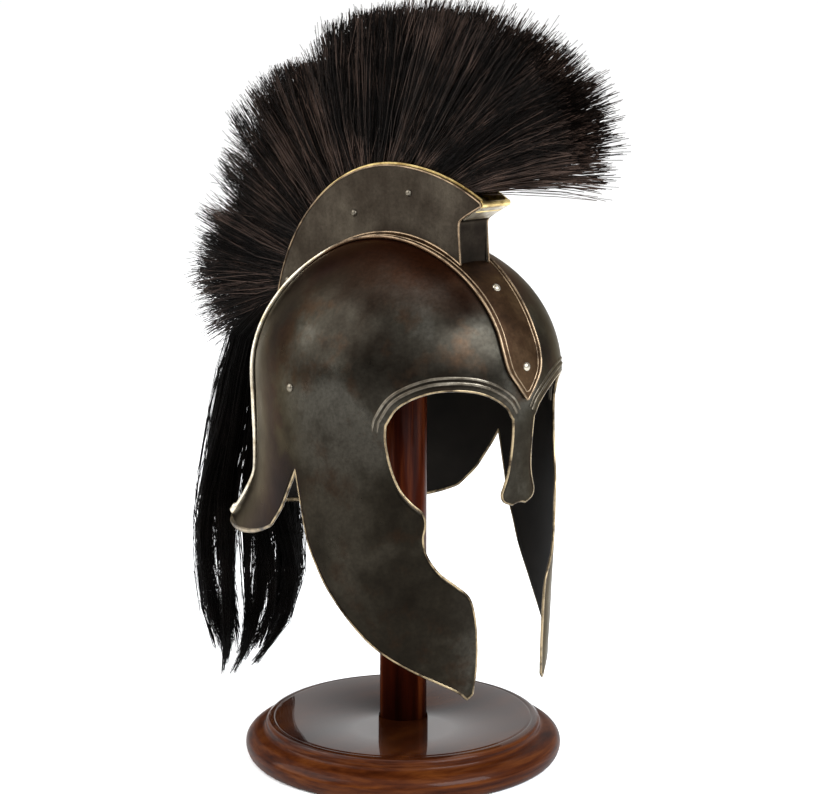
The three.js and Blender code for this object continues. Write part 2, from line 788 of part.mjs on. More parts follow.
const tailHead = new THREE.Vector3(
  0,
  crestArc(crestTipTurn, 0).x + tailHeadSetback,
  crestArc(crestTipTurn, 0).y + tailHeadRise,
);

// The tail: locks side by side that fall behind the neck guard, gathered under the fan's last lock.
function makeTail() {
  const locks = [];
  const down = new THREE.Vector3(0, 0, -1);
  for (let item = 0; item < tailLocks; item += 1) {
    const aside = (2 * item - tailLocks + 1) / tailLocks;
    const trim = 1 - 0.07 * (item % 3);
    const rings = tailRows.map((row) => {
      const spread = tailSpread * row.spread;
      const depth = tailDepth * row.depth * Math.sqrt(1 - 0.6 * aside * aside);
      const centre = new THREE.Vector3(
        aside * spread,
        tailHead.y + tailSwing * row.back,
        tailHead.z - tailLength * row.drop * trim,
      );
      return ovalRing(centre, down, (1.25 * spread) / tailLocks, depth, 6);
    });
    locks.push(toSolid(loft(rings)));
  }
  return toGeometry(wasm.Manifold.union(locks).subtract(fanLock(1, 1, 1.5 * clearance)));
}

// A domed rivet head on a spot of a surface, with its stem's axis along the surface's direction.
function makeRivet(spot, direction) {
  const head = turned(
    [
      [0, 0],
      [rivetRadius, 0],
      [rivetRadius * 0.86, rivetRise * 0.55],
      [rivetRadius * 0.48, rivetRise * 0.9],
      [0, rivetRise],
    ],
    8,
  );
  head.applyQuaternion(new THREE.Quaternion().setFromUnitVectors(new THREE.Vector3(0, 0, 1), direction));
  return head.translate(spot.x, spot.y, spot.z);
}

const bandRivets = { band_rivet_low: 9, band_rivet_high: 39 };
const boxRivets = {
  top: { turn: 96, inset: 17 },
  middle: { turn: 66, inset: 26 },
  back: { turn: 19, inset: 8 },
};
const bowlRivetBack = 12;

function addRivets() {
  for (const [name, pitch] of Object.entries(bandRivets)) {
    const direction = overBowl(pitch, 0);
    addPiece(name, makeRivet(skinAlong(direction, bandSeat + bandThickness + 1.5 * clearance), direction), brass);
  }
  for (const [sideName, side] of [["right", -1], ["left", 1]]) {
    const outward = new THREE.Vector3(side, 0, 0);
    for (const [name, { turn, inset }] of Object.entries(boxRivets)) {
      const place = crestArc(turn, inset);
      const spot = new THREE.Vector3(side * (boxHalfWidth + clearance), place.x, place.y);
      addPiece(`box_rivet_${name}_${sideName}`, makeRivet(spot, outward), brass);
    }
    const toBowl = new THREE.Vector3(side * halfWidth, bowlRivetBack, 0).normalize();
    addPiece(`bowl_rivet_${sideName}`, makeRivet(skinAlong(toBowl, clearance), outward), brass);
  }
}

addPiece("stand_base", makeBase(), mahogany);
addPiece("stand_post", makePost(), mahogany);
addPiece("post_cap", makeCap(), mahogany);
addPiece("helmet_shell", makeShell(), bronze);
addPiece("comb_band", makeBand(), bandBronze);
addPiece("crest_box", makeBox(), boxBronze);
addPiece("crest_lining", makeLining(), brass);
addPiece("plume_crest", makeFan(), horsehair);
addPiece("plume_tail", makeTail(), horsehair);
addRivets();

export default part;
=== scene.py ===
import math
import random

import bmesh
import bpy
from mathutils import Matrix, Vector


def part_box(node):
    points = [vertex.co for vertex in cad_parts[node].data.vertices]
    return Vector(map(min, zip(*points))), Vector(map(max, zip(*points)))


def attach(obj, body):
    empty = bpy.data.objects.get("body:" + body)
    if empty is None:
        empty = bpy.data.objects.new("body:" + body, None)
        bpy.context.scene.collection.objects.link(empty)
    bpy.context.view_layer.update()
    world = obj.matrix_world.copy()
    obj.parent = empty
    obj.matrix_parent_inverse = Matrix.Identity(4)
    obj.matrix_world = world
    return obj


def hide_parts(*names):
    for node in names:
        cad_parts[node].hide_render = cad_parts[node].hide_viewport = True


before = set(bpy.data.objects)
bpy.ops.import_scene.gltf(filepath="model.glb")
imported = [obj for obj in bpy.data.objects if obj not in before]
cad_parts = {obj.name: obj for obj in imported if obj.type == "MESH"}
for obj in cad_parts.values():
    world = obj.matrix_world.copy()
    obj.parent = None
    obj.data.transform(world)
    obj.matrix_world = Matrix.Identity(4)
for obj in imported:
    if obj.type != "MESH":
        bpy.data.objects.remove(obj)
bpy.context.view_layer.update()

random.seed(7)

# Sizes in metres. What the frame can give is read from its nodes.
_, shell_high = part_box("helmet_shell")
_, base_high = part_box("stand_base")
post_low, post_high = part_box("stand_post")
cap_low, cap_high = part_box("post_cap")
_, crest_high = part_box("crest_box")

MM = 0.001
BASE_RADIUS = base_high[0]
BASE_THICKNESS = base_high[2]
BASE_TOP_RADIUS = 93 * MM
BASE_FOOT_RADIUS = 102 * MM
BASE_STEP = 2 * MM
SOCKET_DEPTH = 8 * MM
CAP_DOME_RISE = 12 * MM
POST_RADIUS = post_high[0]
CLEARANCE = 0.3 * MM

CHIN_LEVEL = BASE_THICKNESS + 40 * MM
CROWN_LEVEL = shell_high[2]
DOME_HEIGHT = 93 * MM
FRONT_REACH = 106 * MM
BACK_REACH = 123 * MM
HALF_WIDTH = 96 * MM
BOWL_SHIFT = -6 * MM
SHEET_THICKNESS = 1.6 * MM
FACE_HEM_RADIUS = 0.95 * MM
NECK_HEM_RADIUS = 2.0 * MM
HEM_SPACING = 1.5 * MM

WIDEST_LEVEL = CROWN_LEVEL - DOME_HEIGHT
WALL_DEPTH = WIDEST_LEVEL - CHIN_LEVEL
DOME_FULLNESS = 2.15
FRONT_ROUNDNESS = 2
BACK_ROUNDNESS = 1.75
BOWL_CENTRE = Vector((0, BOWL_SHIFT, WIDEST_LEVEL))

BAND_SEAT = 0.35 * MM
BAND_THICKNESS = 1.5 * MM
BAND_HALF_WIDTH = 23.5 * MM
BACK_BEAD_RADIUS = 1.6 * MM
BAND_TIP_ANGLE = -2
BAND_NAPE_ANGLE = 214.5
BAND_CORNER_TURN = 5.5

BOX_HALF_WIDTH = crest_high[0]
BOX_FRONT_REACH = 60 * MM
BOX_LIP_REACH = 19 * MM
BOX_LIP_THICKNESS = 5 * MM
BOX_BACK_REACH = 120 * MM
BOX_FOOT_PITCH = 52.2
CREST_MIDDLE = BOWL_SHIFT + 1 * MM
CREST_FLOOR = WIDEST_LEVEL + 15 * MM
CREST_TOP = crest_high[2]
CREST_FRONT_HALF = 147 * MM
CREST_TIP_TURN = 5
BOX_BACK_PITCH = 167.5
PLATE_THICKNESS = 1.5 * MM
TROUGH_DEPTH = 9 * MM
LINING_LIP = 1.3 * MM
LINING_THICKNESS = 0.9 * MM

HAIR_LENGTH = 104 * MM
HAIR_ROOT_DEPTH = 6 * MM
HAIR_ROOT_HALF = 8.5 * MM
HAIR_TIP_HALF = 23 * MM
STRAND_RADIUS = 0.18 * MM
FAN_STRANDS = 20600
FAN_TUFTS = 460
FAN_LOOSE_SHARE = 0.14
FAN_SHORT_SHARE = 0.14
FAN_FRONT_SHARE = 0.12
TAIL_STRANDS = 2500
TAIL_STEPS = 9
TAIL_LOOSE_SHARE = 0.24
TAIL_LOCKS = 20
TAIL_LENGTH = 287 * MM
TAIL_SPREAD = 52 * MM
TAIL_DEPTH = 21 * MM
TAIL_SWING = 48 * MM
TAIL_ASIDE = 7 * MM
TAIL_PARTING = 0.16
TAIL_PARTING_HALF = 0.15
TAIL_HEAD_SETBACK = 12 * MM
TAIL_HEAD_RISE = 10 * MM

CAMERA_AZIMUTH = math.radians(-44)
CAMERA_DISTANCE = 1.5
CAMERA_HEIGHT = 0.528
CAMERA_PITCH = math.radians(10.6)
CAMERA_YAW = math.radians(0.166)
CAMERA_LENS = 100.13
LIGHT_TARGET = (0, 0, 0.28)
WORLD_BEHIND_CAMERA = 0.25
WORLD_BEHIND_OBJECT = 0.7

RIVET_RADIUS = 2.9 * MM
RIVET_RISE = 1.9 * MM
BOX_RIVET_SHARE = 0.85
BOWL_RIVET_SETBACK = 12 * MM

CROWN_TINT_SIDE = (0.03, 0.085)
CROWN_TINT_HEIGHT = (0.312, 0.345)
# Painted shade on the guards: away from the nasal, their colour darkens towards the bottom.
GUARD_SHADE_SIDE = (0.025, 0.05)
GUARD_SHADE_HEIGHT = (0.2, 0.285)
BRONZE_METALLIC = 0.85
# Above this level the wood is glossier, and darker by painted shade.
GLOSS_LEVEL = BASE_THICKNESS - 1.6 * MM
TOP_COAT = 0.85
TOP_PAINTED_SHADE = 0.6

# Half sections of the helmet's skin, as shares of its three reaches, by level.
SKIN_SECTIONS = [
    # level, front, back, side
    (0.0, 0.945, 1.26, 0.88),
    (0.17, 0.953, 1.27, 0.92),
    (0.32, 0.953, 1.3, 0.95),
    (0.42, 0.953, 1.3, 0.975),
    (0.52, 0.953, 1.145, 0.99),
    (0.62, 0.955, 1.025, 0.995),
    (0.74, 0.965, 0.98, 1.0),
    (0.88, 0.99, 0.985, 1.0),
    (1.0, 1.0, 0.995, 1.0),
    (1.13, 0.997, 0.962, 1.0),
    (1.25, 0.99, 0.92, 1.0),
    (1.38, 0.98, 0.885, 1.0),
    (1.5, 0.975, 0.87, 1.0),
]

# The brow's edge over one eye: angle from the midline in degrees, level.
BROW_EDGE = [
    (0, 0.925), (2.8, 0.923), (5.6, 0.92), (8.8, 0.958), (14.8, 0.994), (21, 1.016),
    (27, 1.026), (33, 1.028), (39.6, 1.022), (46.7, 1.0), (52, 0.967), (55.6, 0.915),
]

# The nasal bar from its root to its rounded end: share of its way, half angle, level.
NASAL_ROWS = [
    (0.0, 5.6, 0.92), (0.2, 5.2, 0.86), (0.42, 5.4, 0.79), (0.6, 6.3, 0.735),
    (0.74, 7.8, 0.697), (0.86, 8.8, 0.672), (0.94, 7.7, 0.65), (1.0, 4.2, 0.637),
]

# The cheek guard: share of its way, front angle and level, rear angle and level.
CHEEK_ROWS = [
    (0.0, 55.6, 0.915, 95, 0.735),
    (0.06, 55.6, 0.87, 93.6, 0.685),
    (0.12, 54.4, 0.815, 92.2, 0.635),
    (0.19, 52.3, 0.757, 90, 0.565),
    (0.26, 49.2, 0.702, 87.6, 0.49),
    (0.33, 44.9, 0.66, 84.5, 0.43),
    (0.39, 41.2, 0.632, 80.9, 0.366),
    (0.45, 40.0, 0.595, 76.5, 0.31),
    (0.51, 40.9, 0.545, 71, 0.253),
    (0.57, 39.6, 0.49, 65, 0.2),
    (0.64, 35.2, 0.432, 59, 0.16),
    (0.71, 29, 0.388, 52, 0.125),
    (0.77, 23.8, 0.348, 44.3, 0.092),
    (0.83, 21.6, 0.29, 37.5, 0.066),
    (0.9, 20.8, 0.2, 31.5, 0.042),
    (0.96, 21.2, 0.105, 27.5, 0.022),
    (1.0, 22.8, 0.02, 25.2, 0.004),
]

# The neck guard: share of its way, slit angle and level, level at the middle of the back.
NECK_ROWS = [
    (0.0, 95, 0.735, 0.735),
    (0.18, 97.6, 0.695, 0.675),
    (0.36, 100.2, 0.656, 0.615),
    (0.53, 102.4, 0.62, 0.56),
    (0.69, 104.4, 0.586, 0.505),
    (0.86, 107.4, 0.545, 0.455),
    (1.0, 109.6, 0.514, 0.42),
]
HEM_TURN = 5

# The two lines above each brow: distance from its edge, radius.
BROW_WELTS = [(4.6 * MM, 1.35 * MM), (8.0 * MM, 1.2 * MM)]

# The comb band's half width along its way, as shares of BAND_HALF_WIDTH.
BAND_STATIONS = [
    (0.0, 0.06), (0.02, 0.34), (0.045, 0.64), (0.075, 0.73), (0.11, 0.72), (0.17, 0.75),
    (0.25, 0.84), (0.34, 0.93), (0.45, 1.0), (0.53, 1.04), (0.6, 1.25), (0.68, 2.2),
    (0.76, 3.1), (0.84, 3.75), (0.92, 3.6), (0.97, 3.0), (1.0, 2.3),
]

# The band's beads on each side: distance from its edge, radius.
BAND_BEADS = [(0.9 * MM, 0.85 * MM), (4.4 * MM, 0.5 * MM)]

# The band's rivets by pitch, and the box's on each side: turn of its top edge, distance below it.
BAND_RIVETS = [9, 39]
BOX_RIVETS = [(96, 17 * MM), (66, 26 * MM), (19, 8 * MM)]

# The horsehair fan: share of the trough from the front, lean from upright in degrees, length share.
FAN_ROWS = [
    (0.0, 78, 1.06), (0.05, 70, 1.14), (0.11, 59, 1.24), (0.18, 47, 1.28), (0.26, 33, 1.17),
    (0.34, 19, 1.07), (0.43, 5, 1.01), (0.49, -6, 0.92), (0.53, -12, 0.72), (0.58, -20, 0.88),
    (0.63, -29, 0.94), (0.68, -38, 0.96), (0.75, -49, 0.88), (0.8, -57, 0.72), (0.835, -62, 0.56),
    (0.87, -68, 0.76), (0.93, -80, 0.8), (0.97, -95, 0.87), (1.0, -110, 0.82),
]

# The tail: share of its length, then shares of its swing, spread and depth.
TAIL_ROWS = [
    (0.0, 0.0, 0.14, 0.28), (0.08, 0.5, 0.28, 0.5), (0.2, 0.66, 0.46, 0.62), (0.36, 0.82, 0.62, 0.74),
    (0.52, 0.9, 0.78, 0.72), (0.66, 0.74, 0.88, 0.95), (0.8, 0.66, 0.82, 0.88),
    (0.91, 0.78, 0.52, 0.56), (1.0, 1.08, 0.19, 0.25),
]


def read_table(rows, column, at):
    """The value of a table's column on a smooth curve through its rows, by the first column."""
    last = len(rows) - 1
    if at <= rows[0][0]:
        return rows[0][column]
    if at >= rows[last][0]:
        return rows[last][column]
    after = next(item for item, row in enumerate(rows) if row[0] >= at)
    here = after - 1
    span = rows[after][0] - rows[here][0]

    def slope(item):
        low = max(item - 1, 0)
        high = min(item + 1, last)
        return (rows[high][column] - rows[low][column]) / (rows[high][0] - rows[low][0])

    share = (at - rows[here][0]) / span
    square = share * share
    cube = square * share
    return (
        (2 * cube - 3 * square + 1) * rows[here][column]
        + (cube - 2 * square + share) * span * slope(here)
        + (3 * square - 2 * cube) * rows[after][column]
        + (cube - square) * span * slope(after)
    )


def reaches_at(height):
    """The skin's half sizes at a height: front, back and side."""
    level = (height - CHIN_LEVEL) / WALL_DEPTH
    rise = min(max((height - WIDEST_LEVEL) / DOME_HEIGHT, 0), 1)
    dome = math.sqrt(max(0, 1 - rise**DOME_FULLNESS))
    return (
        FRONT_REACH * read_table(SKIN_SECTIONS, 1, level) * dome,
        BACK_REACH * read_table(SKIN_SECTIONS, 2, level) * dome,
        HALF_WIDTH * read_table(SKIN_SECTIONS, 3, level) * dome,
    )


def signed_power(value, power):
    """A power that keeps its sign."""
    return math.copysign(abs(value) ** power, value)


def skin_point(angle, level):
    """A point on the helmet's skin, by its angle from the front midline and its level."""
    height = CHIN_LEVEL + WALL_DEPTH * level
    front, back, side = reaches_at(height)
    ahead = math.cos(math.radians(angle))
    aside = math.sin(math.radians(angle))
    power = 2 / (FRONT_ROUNDNESS if ahead > 0 else BACK_ROUNDNESS)
    length = front if ahead > 0 else back
    x = side * signed_power(aside, power)
    return Vector((x, BOWL_SHIFT - length * signed_power(ahead, power), height))


def is_inside_skin(point):
    """Whether a point lies inside the closed skin, below the crown."""
    if point.z >= CROWN_LEVEL:
        return False
    front, back, side = reaches_at(point.z)
    ahead = BOWL_SHIFT - point.y
    power = FRONT_ROUNDNESS if ahead > 0 else BACK_ROUNDNESS
    length = front if ahead > 0 else back
    return abs(point.x / side) ** power + abs(ahead / length) ** power < 1


def last_inside(low, high, place):
    """How far along a line, placed by a function, its points stay inside the skin."""
    for _ in range(22):
        middle = (low + high) / 2
        if is_inside_skin(place(middle)):
            low = middle
        else:
            high = middle
    return low


def skin_along(direction, stand_off=0.0):
    """Where a ray from the middle of the bowl meets the skin, moved out by a stand-off."""
    reach = last_inside(0.0, 2 * BACK_REACH, lambda way: BOWL_CENTRE + direction * way)
    return BOWL_CENTRE + direction * (reach + stand_off)


def over_bowl(pitch, aside):
    """A direction over the midline, 0 at the front and 90 at the crown, turned aside by an angle."""
    turn = math.radians(pitch)
    return Vector((math.sin(aside), -math.cos(aside) * math.cos(turn), math.cos(aside) * math.sin(turn)))


def skin_height(x, y):
    """How high the dome's skin is over a spot."""
    return last_inside(WIDEST_LEVEL, CROWN_LEVEL, lambda height: Vector((x, y, height)))


def bowl_edge_at(angle):
    """The bowl's lower edge: the brow, the line across the temple, or the line to the nape."""
    corner_angle, corner_level = BROW_EDGE[-1]
    _, slit, slit_level, _ = NECK_ROWS[0]
    if angle <= corner_angle:
        return read_table(BROW_EDGE, 1, angle)
    if angle >= slit:
        return slit_level
    return corner_level + (angle - corner_angle) / (slit - corner_angle) * (slit_level - corner_level)


def cheek_point(along, across):
    """Angle and level on a cheek guard, by its way down and its share from the front edge to the rear."""
    values = (read_table(CHEEK_ROWS, column, along) for column in (1, 2, 3, 4))
    front, front_level, rear, rear_level = values
    return front + across * (rear - front), front_level + across * (rear_level - front_level)


def neck_point(along, across):
    """Angle and level on the neck guard, by its way down and its share from the slit to the midline."""
    slit, slit_level, back_level = (read_table(NECK_ROWS, column, along) for column in (1, 2, 3))
    rise = (slit_level - back_level) * (1 - across) ** HEM_TURN
    return slit + across * (180 - slit), back_level + rise


def nasal_point(along, across):
    """Angle and level on the nasal bar, by its way down and its share from the midline to its edge."""
    half = read_table(NASAL_ROWS, 1, along)
    level = read_table(NASAL_ROWS, 2, along)
    root_half, root_level = NASAL_ROWS[0][1:]
    return across * half, level + bowl_edge_at(across * root_half) - root_level


def crest_arc(turn, inset):
    """A point of the crest box's egg-shaped top edge in y and z, 0 at the back and 90 at the top."""
    angle = math.radians(turn)
    half = CREST_FRONT_HALF if math.cos(angle) < 0 else BOX_BACK_REACH
    return (
        CREST_MIDDLE + (half - inset) * math.cos(angle),
        CREST_FLOOR + (CREST_TOP - CREST_FLOOR - inset) * math.sin(angle),
    )


CREST_LIP_TURN = 180 - math.degrees(math.acos((BOX_FRONT_REACH + BOX_LIP_REACH) / CREST_FRONT_HALF))
LINING_BACK_TURN = CREST_TIP_TURN + 9
LINING_FRONT_TURN = CREST_LIP_TURN - 2
HAIR_FRONT_TURN = CREST_LIP_TURN - 8


def place_mesh(name, mesh, materials, smooth):
    """An object at the origin that holds a mesh, linked to the scene, with its materials."""
    piece = bpy.data.objects.new(name, mesh)
    bpy.context.scene.collection.objects.link(piece)
    for material in materials:
        mesh.materials.append(material)
    for face in mesh.polygons:
        face.use_smooth = smooth
    return piece


def new_piece(name, bm, materials, smooth=True):
    """A piece from a finished bmesh."""
    mesh = bpy.data.meshes.new(name)
    bm.to_mesh(mesh)
    bm.free()
    return place_mesh(name, mesh, materials, smooth)


def add_grid(bm, rows, columns, place):
    """A grid of faces whose corners are put in place by a function of two shares from 0 to 1."""
    made = bmesh.ops.create_grid(bm, x_segments=columns, y_segments=rows, size=1)
    for vert in made["verts"]:
        across = (vert.co.x + 1) / 2
        along = (vert.co.y + 1) / 2
        vert.co = place(along, across)


def merge_close(bm, distance=0.02 * MM):
    """Joins corners that meet, and takes out faces without area."""
    bmesh.ops.remove_doubles(bm, verts=bm.verts, dist=distance)
    bmesh.ops.dissolve_degenerate(bm, edges=bm.edges, dist=0.001 * MM)


def level_point(side, angle, level, out=0.0):
    """A point on one half of the skin, moved out along the skin's own normal."""
    point = skin_point(angle, level)
    if out:
        step = 0.002
        around = skin_point(angle + 0.2, level) - skin_point(angle - 0.2, level)
        upward = skin_point(angle, level + step) - skin_point(angle, level - step)
        point += around.cross(upward).normalized() * out
    return Vector((side * point.x, point.y, point.z))


def meridian_level(edge_level, share):
    """The level on a meridian, from its lower edge at share 0 to the crown at 1, evenly along the skin."""
    dome_share = DOME_HEIGHT / WALL_DEPTH
    quarter = math.pi / 2
    dome_arc = quarter * (FRONT_REACH + DOME_HEIGHT) / 2
    if edge_level < 1:
        start = (edge_level - 1) * WALL_DEPTH / dome_arc
    else:
        start = math.asin((edge_level - 1) / dome_share) / quarter
    way = start + (1 - start) * share
    if way < 0:
        return 1 + way * dome_arc / WALL_DEPTH
    return 1 + dome_share * math.sin(min(way, 1) * quarter)


def make_shell():
    """Bowl, cheek guards, nasal and neck guard as one smooth sheet with the real wall."""
    root_half = NASAL_ROWS[0][1]
    eye_corner = BROW_EDGE[-1][0]
    slit = NECK_ROWS[0][1]
    fields = [(0, root_half, 4), (root_half, eye_corner, 48), (eye_corner, slit, 26), (slit, 180, 44)]
    bm = bmesh.new()
    for side in (1, -1):
        for low, high, columns in fields:
            def bowl(along, across):
                angle = low + across * (high - low)
                return level_point(side, angle, meridian_level(bowl_edge_at(angle), along))

            add_grid(bm, 64, columns, bowl)
        add_grid(bm, 100, 26, lambda along, across: level_point(side, *cheek_point(along, across)))
        add_grid(bm, 30, 44, lambda along, across: level_point(side, *neck_point(along, across)))
        add_grid(bm, 40, 4, lambda along, across: level_point(side, *nasal_point(along, across)))
    merge_close(bm)
    bmesh.ops.recalc_face_normals(bm, faces=bm.faces)
    bmesh.ops.solidify(bm, geom=bm.faces[:], thickness=SHEET_THICKNESS)
    bmesh.ops.recalc_face_normals(bm, faces=bm.faces)
    for face in bm.faces:
        middle = face.calc_center_median()
        axis = Vector((0, BOWL_SHIFT, min(middle.z, WIDEST_LEVEL)))
        if face.normal.dot(middle - axis) < 0:
            face.material_index = 1
    return bm


def tube_piece(name, lines, materials, sides=2):
    """Round tubes along lines, each a list of points with their radii, as one piece."""
    curve = bpy.data.curves.new(name, "CURVE")
    curve.dimensions = "3D"
    curve.bevel_depth = 1 * MM
    curve.bevel_resolution = sides
    curve.use_fill_caps = True
    for line in lines:
        spline = curve.splines.new("POLY")
        spline.points.add(len(line) - 1)
        spline.points.foreach_set("co", [value for point, _ in line for value in (*point, 1)])
        spline.points.foreach_set("radius", [radius / MM for _, radius in line])
        spline.use_smooth = True
    holder = bpy.data.objects.new(name + "_curve", curve)
    bpy.context.scene.collection.objects.link(holder)
    mesh = bpy.data.meshes.new_from_object(holder)
    mesh.name = name
    bpy.data.objects.remove(holder)
    bpy.data.curves.remove(curve)
    return place_mesh(name, mesh, materials, True)


def even_line(points, spacing):
    """The same line with its points evenly spaced."""
    lengths = [0.0]
    for here, after in zip(points, points[1:]):
        lengths.append(lengths[-1] + (after - here).length)
    steps = max(2, round(lengths[-1] / spacing))
    line = []
    item = 0
    for step in range(steps + 1):
        goal = lengths[-1] * step / steps
        while item < len(lengths) - 2 and lengths[item + 1] < goal:
            item += 1
        span = lengths[item + 1] - lengths[item]
        share = 0 if span == 0 else (goal - lengths[item]) / span
        line.append(points[item].lerp(points[item + 1], share))
    return line


def half_hem(side):
    """The free edges of one half: nasal, brow and cheek front, then cheek rear, then neck guard."""
    middle = -SHEET_THICKNESS / 2
    fine = [step / 200 for step in range(201)]
    corner, slit = BROW_EDGE[-1][0], NECK_ROWS[0][1]
    root_half = NASAL_ROWS[0][1]

    def points(place, shares):
        return [level_point(side, *place(share), middle) for share in shares]

    def brow(share):
        angle = root_half + share * (corner - root_half)
        return angle, bowl_edge_at(angle)

    face = points(lambda share: nasal_point(1, share), fine[::20])
    face += points(lambda share: nasal_point(1 - share, 1), fine[::2])
    face += points(brow, fine)
    face += points(lambda share: cheek_point(share, 0), fine)
    cheek = points(lambda share: cheek_point(1, share), fine[::20])
    cheek += points(lambda share: cheek_point(1 - share, 1), fine)
    neck = points(lambda share: neck_point(share, 0), fine[::2])
    neck += points(lambda share: neck_point(1, share), fine)
    return face, cheek, neck


def make_hems():
    """Rolled edges in worn brass: thin round the face and cheeks, thick round the neck guard."""
    lines = []
    swell = NECK_HEM_RADIUS - FACE_HEM_RADIUS
    for side in (1, -1):
        face, cheek, neck = half_hem(side)
        lines.append([(point, FACE_HEM_RADIUS) for point in even_line(face, HEM_SPACING)])
        lines.append([(point, FACE_HEM_RADIUS * 1.1) for point in even_line(cheek, HEM_SPACING)])
        line = even_line(neck, HEM_SPACING)
        count = len(line) - 1
        lines.append([
            (point, FACE_HEM_RADIUS + swell * min(1, max(0, 4 * item / count - 1)))
            for item, point in enumerate(line)
        ])
    return lines


def make_welts():
    """Two embossed lines that follow the brow's edge, from the nasal's root to the temple."""
    radius = FRONT_REACH * 0.97
    start = 5.8
    corner = BROW_EDGE[-1][0]
    lines = []
    for distance, size in BROW_WELTS:
        flat = []
        for step in range(141):
            angle = start + (corner - start) * step / 140
            flat.append(Vector((math.radians(angle) * radius, bowl_edge_at(angle) * WALL_DEPTH)))
        for step in range(1, 12):
            angle, level = cheek_point(0.04 * step / 11, 0)
            flat.append(Vector((math.radians(angle) * radius, level * WALL_DEPTH)))
        for side in (1, -1):
            line = []
            for item in range(1, len(flat) - 1):
                along = (flat[item + 1] - flat[item - 1]).normalized()
                spot = flat[item] + Vector((-along.y, along.x)) * distance
                angle = math.degrees(spot.x / radius)
                if angle < 0.3:
                    continue
                share = item / (len(flat) - 1)
                fade = min(1, (1 - share) * 6)
                sunk = -size * (0.42 + 0.6 * (1 - fade))
                line.append((level_point(side, angle, spot.y / WALL_DEPTH, sunk), size))
            lines.append(line)
    return lines


def band_half_at(along):
    """The comb band's half width at a share of its way."""
    return BAND_HALF_WIDTH * read_table(BAND_STATIONS, 1, along)


def band_point(along, share, out=0.0):
    """A point on the comb band, by its way from the leaf tip to the nape and its share across."""
    nape = BAND_NAPE_ANGLE + BAND_CORNER_TURN * share * share
    pitch = BAND_TIP_ANGLE + along * (nape - BAND_TIP_ANGLE)
    reach = (skin_along(over_bowl(pitch, 0)) - BOWL_CENTRE).length
    aside = math.atan(share * band_half_at(along) / reach)
    return skin_along(over_bowl(pitch, aside), BAND_SEAT + out)


def make_band():
    """The comb band as one curved strip, laid on the bowl, with its own thickness."""
    bm = bmesh.new()
    add_grid(bm, 180, 36, lambda along, across: band_point(along, 2 * across - 1, BAND_THICKNESS))
    merge_close(bm)
    bmesh.ops.recalc_face_normals(bm, faces=bm.faces)
    if sum((face.normal.dot(face.calc_center_median() - BOWL_CENTRE) for face in bm.faces)) < 0:
        bmesh.ops.reverse_faces(bm, faces=bm.faces)
    bmesh.ops.solidify(bm, geom=bm.faces[:], thickness=BAND_THICKNESS)
    bmesh.ops.recalc_face_normals(bm, faces=bm.faces)
    return bm


def band_edge(distance, size, from_along, to_along):
    """The line at a distance inside the band's edge, on the +x side, with the bead's radius."""
    line = []
    for step in range(161):
        along = from_along + (to_along - from_along) * step / 160
        half = band_half_at(along)
        if half > distance * 1.02:
            line.append(band_point(along, 1 - distance / half, BAND_THICKNESS))
    return [(point, size) for point in even_line(line, 1.6 * MM)]


def mirrored(line):
    """The same line on the other side of the midline."""
    return [(Vector((-point.x, point.y, point.z)), radius) for point, radius in line]


def make_band_beads():
    """Two worn beads along each edge of the band, which meet at its leaf tip."""
    lines = []
    for distance, size in BAND_BEADS:
        line = band_edge(distance, size, 1, 0)
        lines.append(line + [(point, radius) for point, radius in reversed(mirrored(line))])
    return lines


def make_back_beads():
    """The thick pale bead of the band's flared back, down to its rolled end on the neck guard."""
    line = band_edge(1.2 * MM, BACK_BEAD_RADIUS, 0.5, 1)
    count = len(line) - 1
    shaped = []
    for item, (point, radius) in enumerate(line):
        share = item / count
        knob = 0.9 if item > count - 4 else 0
        shaped.append((point, radius * (min(1, 0.45 + 2.2 * share) + knob)))
    shaped.append((line[-1][0] + (line[-1][0] - line[-2][0]), line[-1][1] * 1.2))
    return [shaped, mirrored(shaped)]


def box_top(inset=0.0):
    """The box's top edge from its back tip to its lip."""
    steps = 90
    turn = CREST_LIP_TURN - CREST_TIP_TURN
    return [crest_arc(CREST_TIP_TURN + turn * step / steps, inset) for step in range(steps + 1)]


def box_front(inset=0.0):
    """The coved front of the box from under the lip down to the band, as a smooth line."""
    steps = 24
    lip_y, lip_z = crest_arc(CREST_LIP_TURN, 0)
    front = CREST_MIDDLE - BOX_FRONT_REACH
    rows = [
        (0.0, lip_y - 0.6 * MM, lip_z - BOX_LIP_THICKNESS * 0.45),
        (0.45, front - BOX_LIP_REACH * 0.5, lip_z - BOX_LIP_THICKNESS * 1.5),
        (0.7, front - BOX_LIP_REACH * 0.12, lip_z - BOX_LIP_THICKNESS * 2.35),
        (0.78, front - BOX_LIP_REACH * 0.01, lip_z - BOX_LIP_THICKNESS * 2.8),
        (1.0, front, lip_z - BOX_LIP_THICKNESS * 4.2),
    ]
    return [
        (read_table(rows, 1, step / steps) + inset, read_table(rows, 2, step / steps))
        for step in range(steps + 1)
    ]


def box_foot(out):
    """The foot of a side plate, laid along the band's top from the front to the back tip."""
    steps = 60
    line = []
    for step in range(steps + 1):
        pitch = BOX_FOOT_PITCH + (BOX_BACK_PITCH - BOX_FOOT_PITCH) * step / steps
        reach = (skin_along(over_bowl(pitch, 0)) - BOWL_CENTRE).length
        point = skin_along(over_bowl(pitch, math.asin(BOX_HALF_WIDTH / reach)), BAND_SEAT + out)
        line.append((point.y, point.z))
    return line


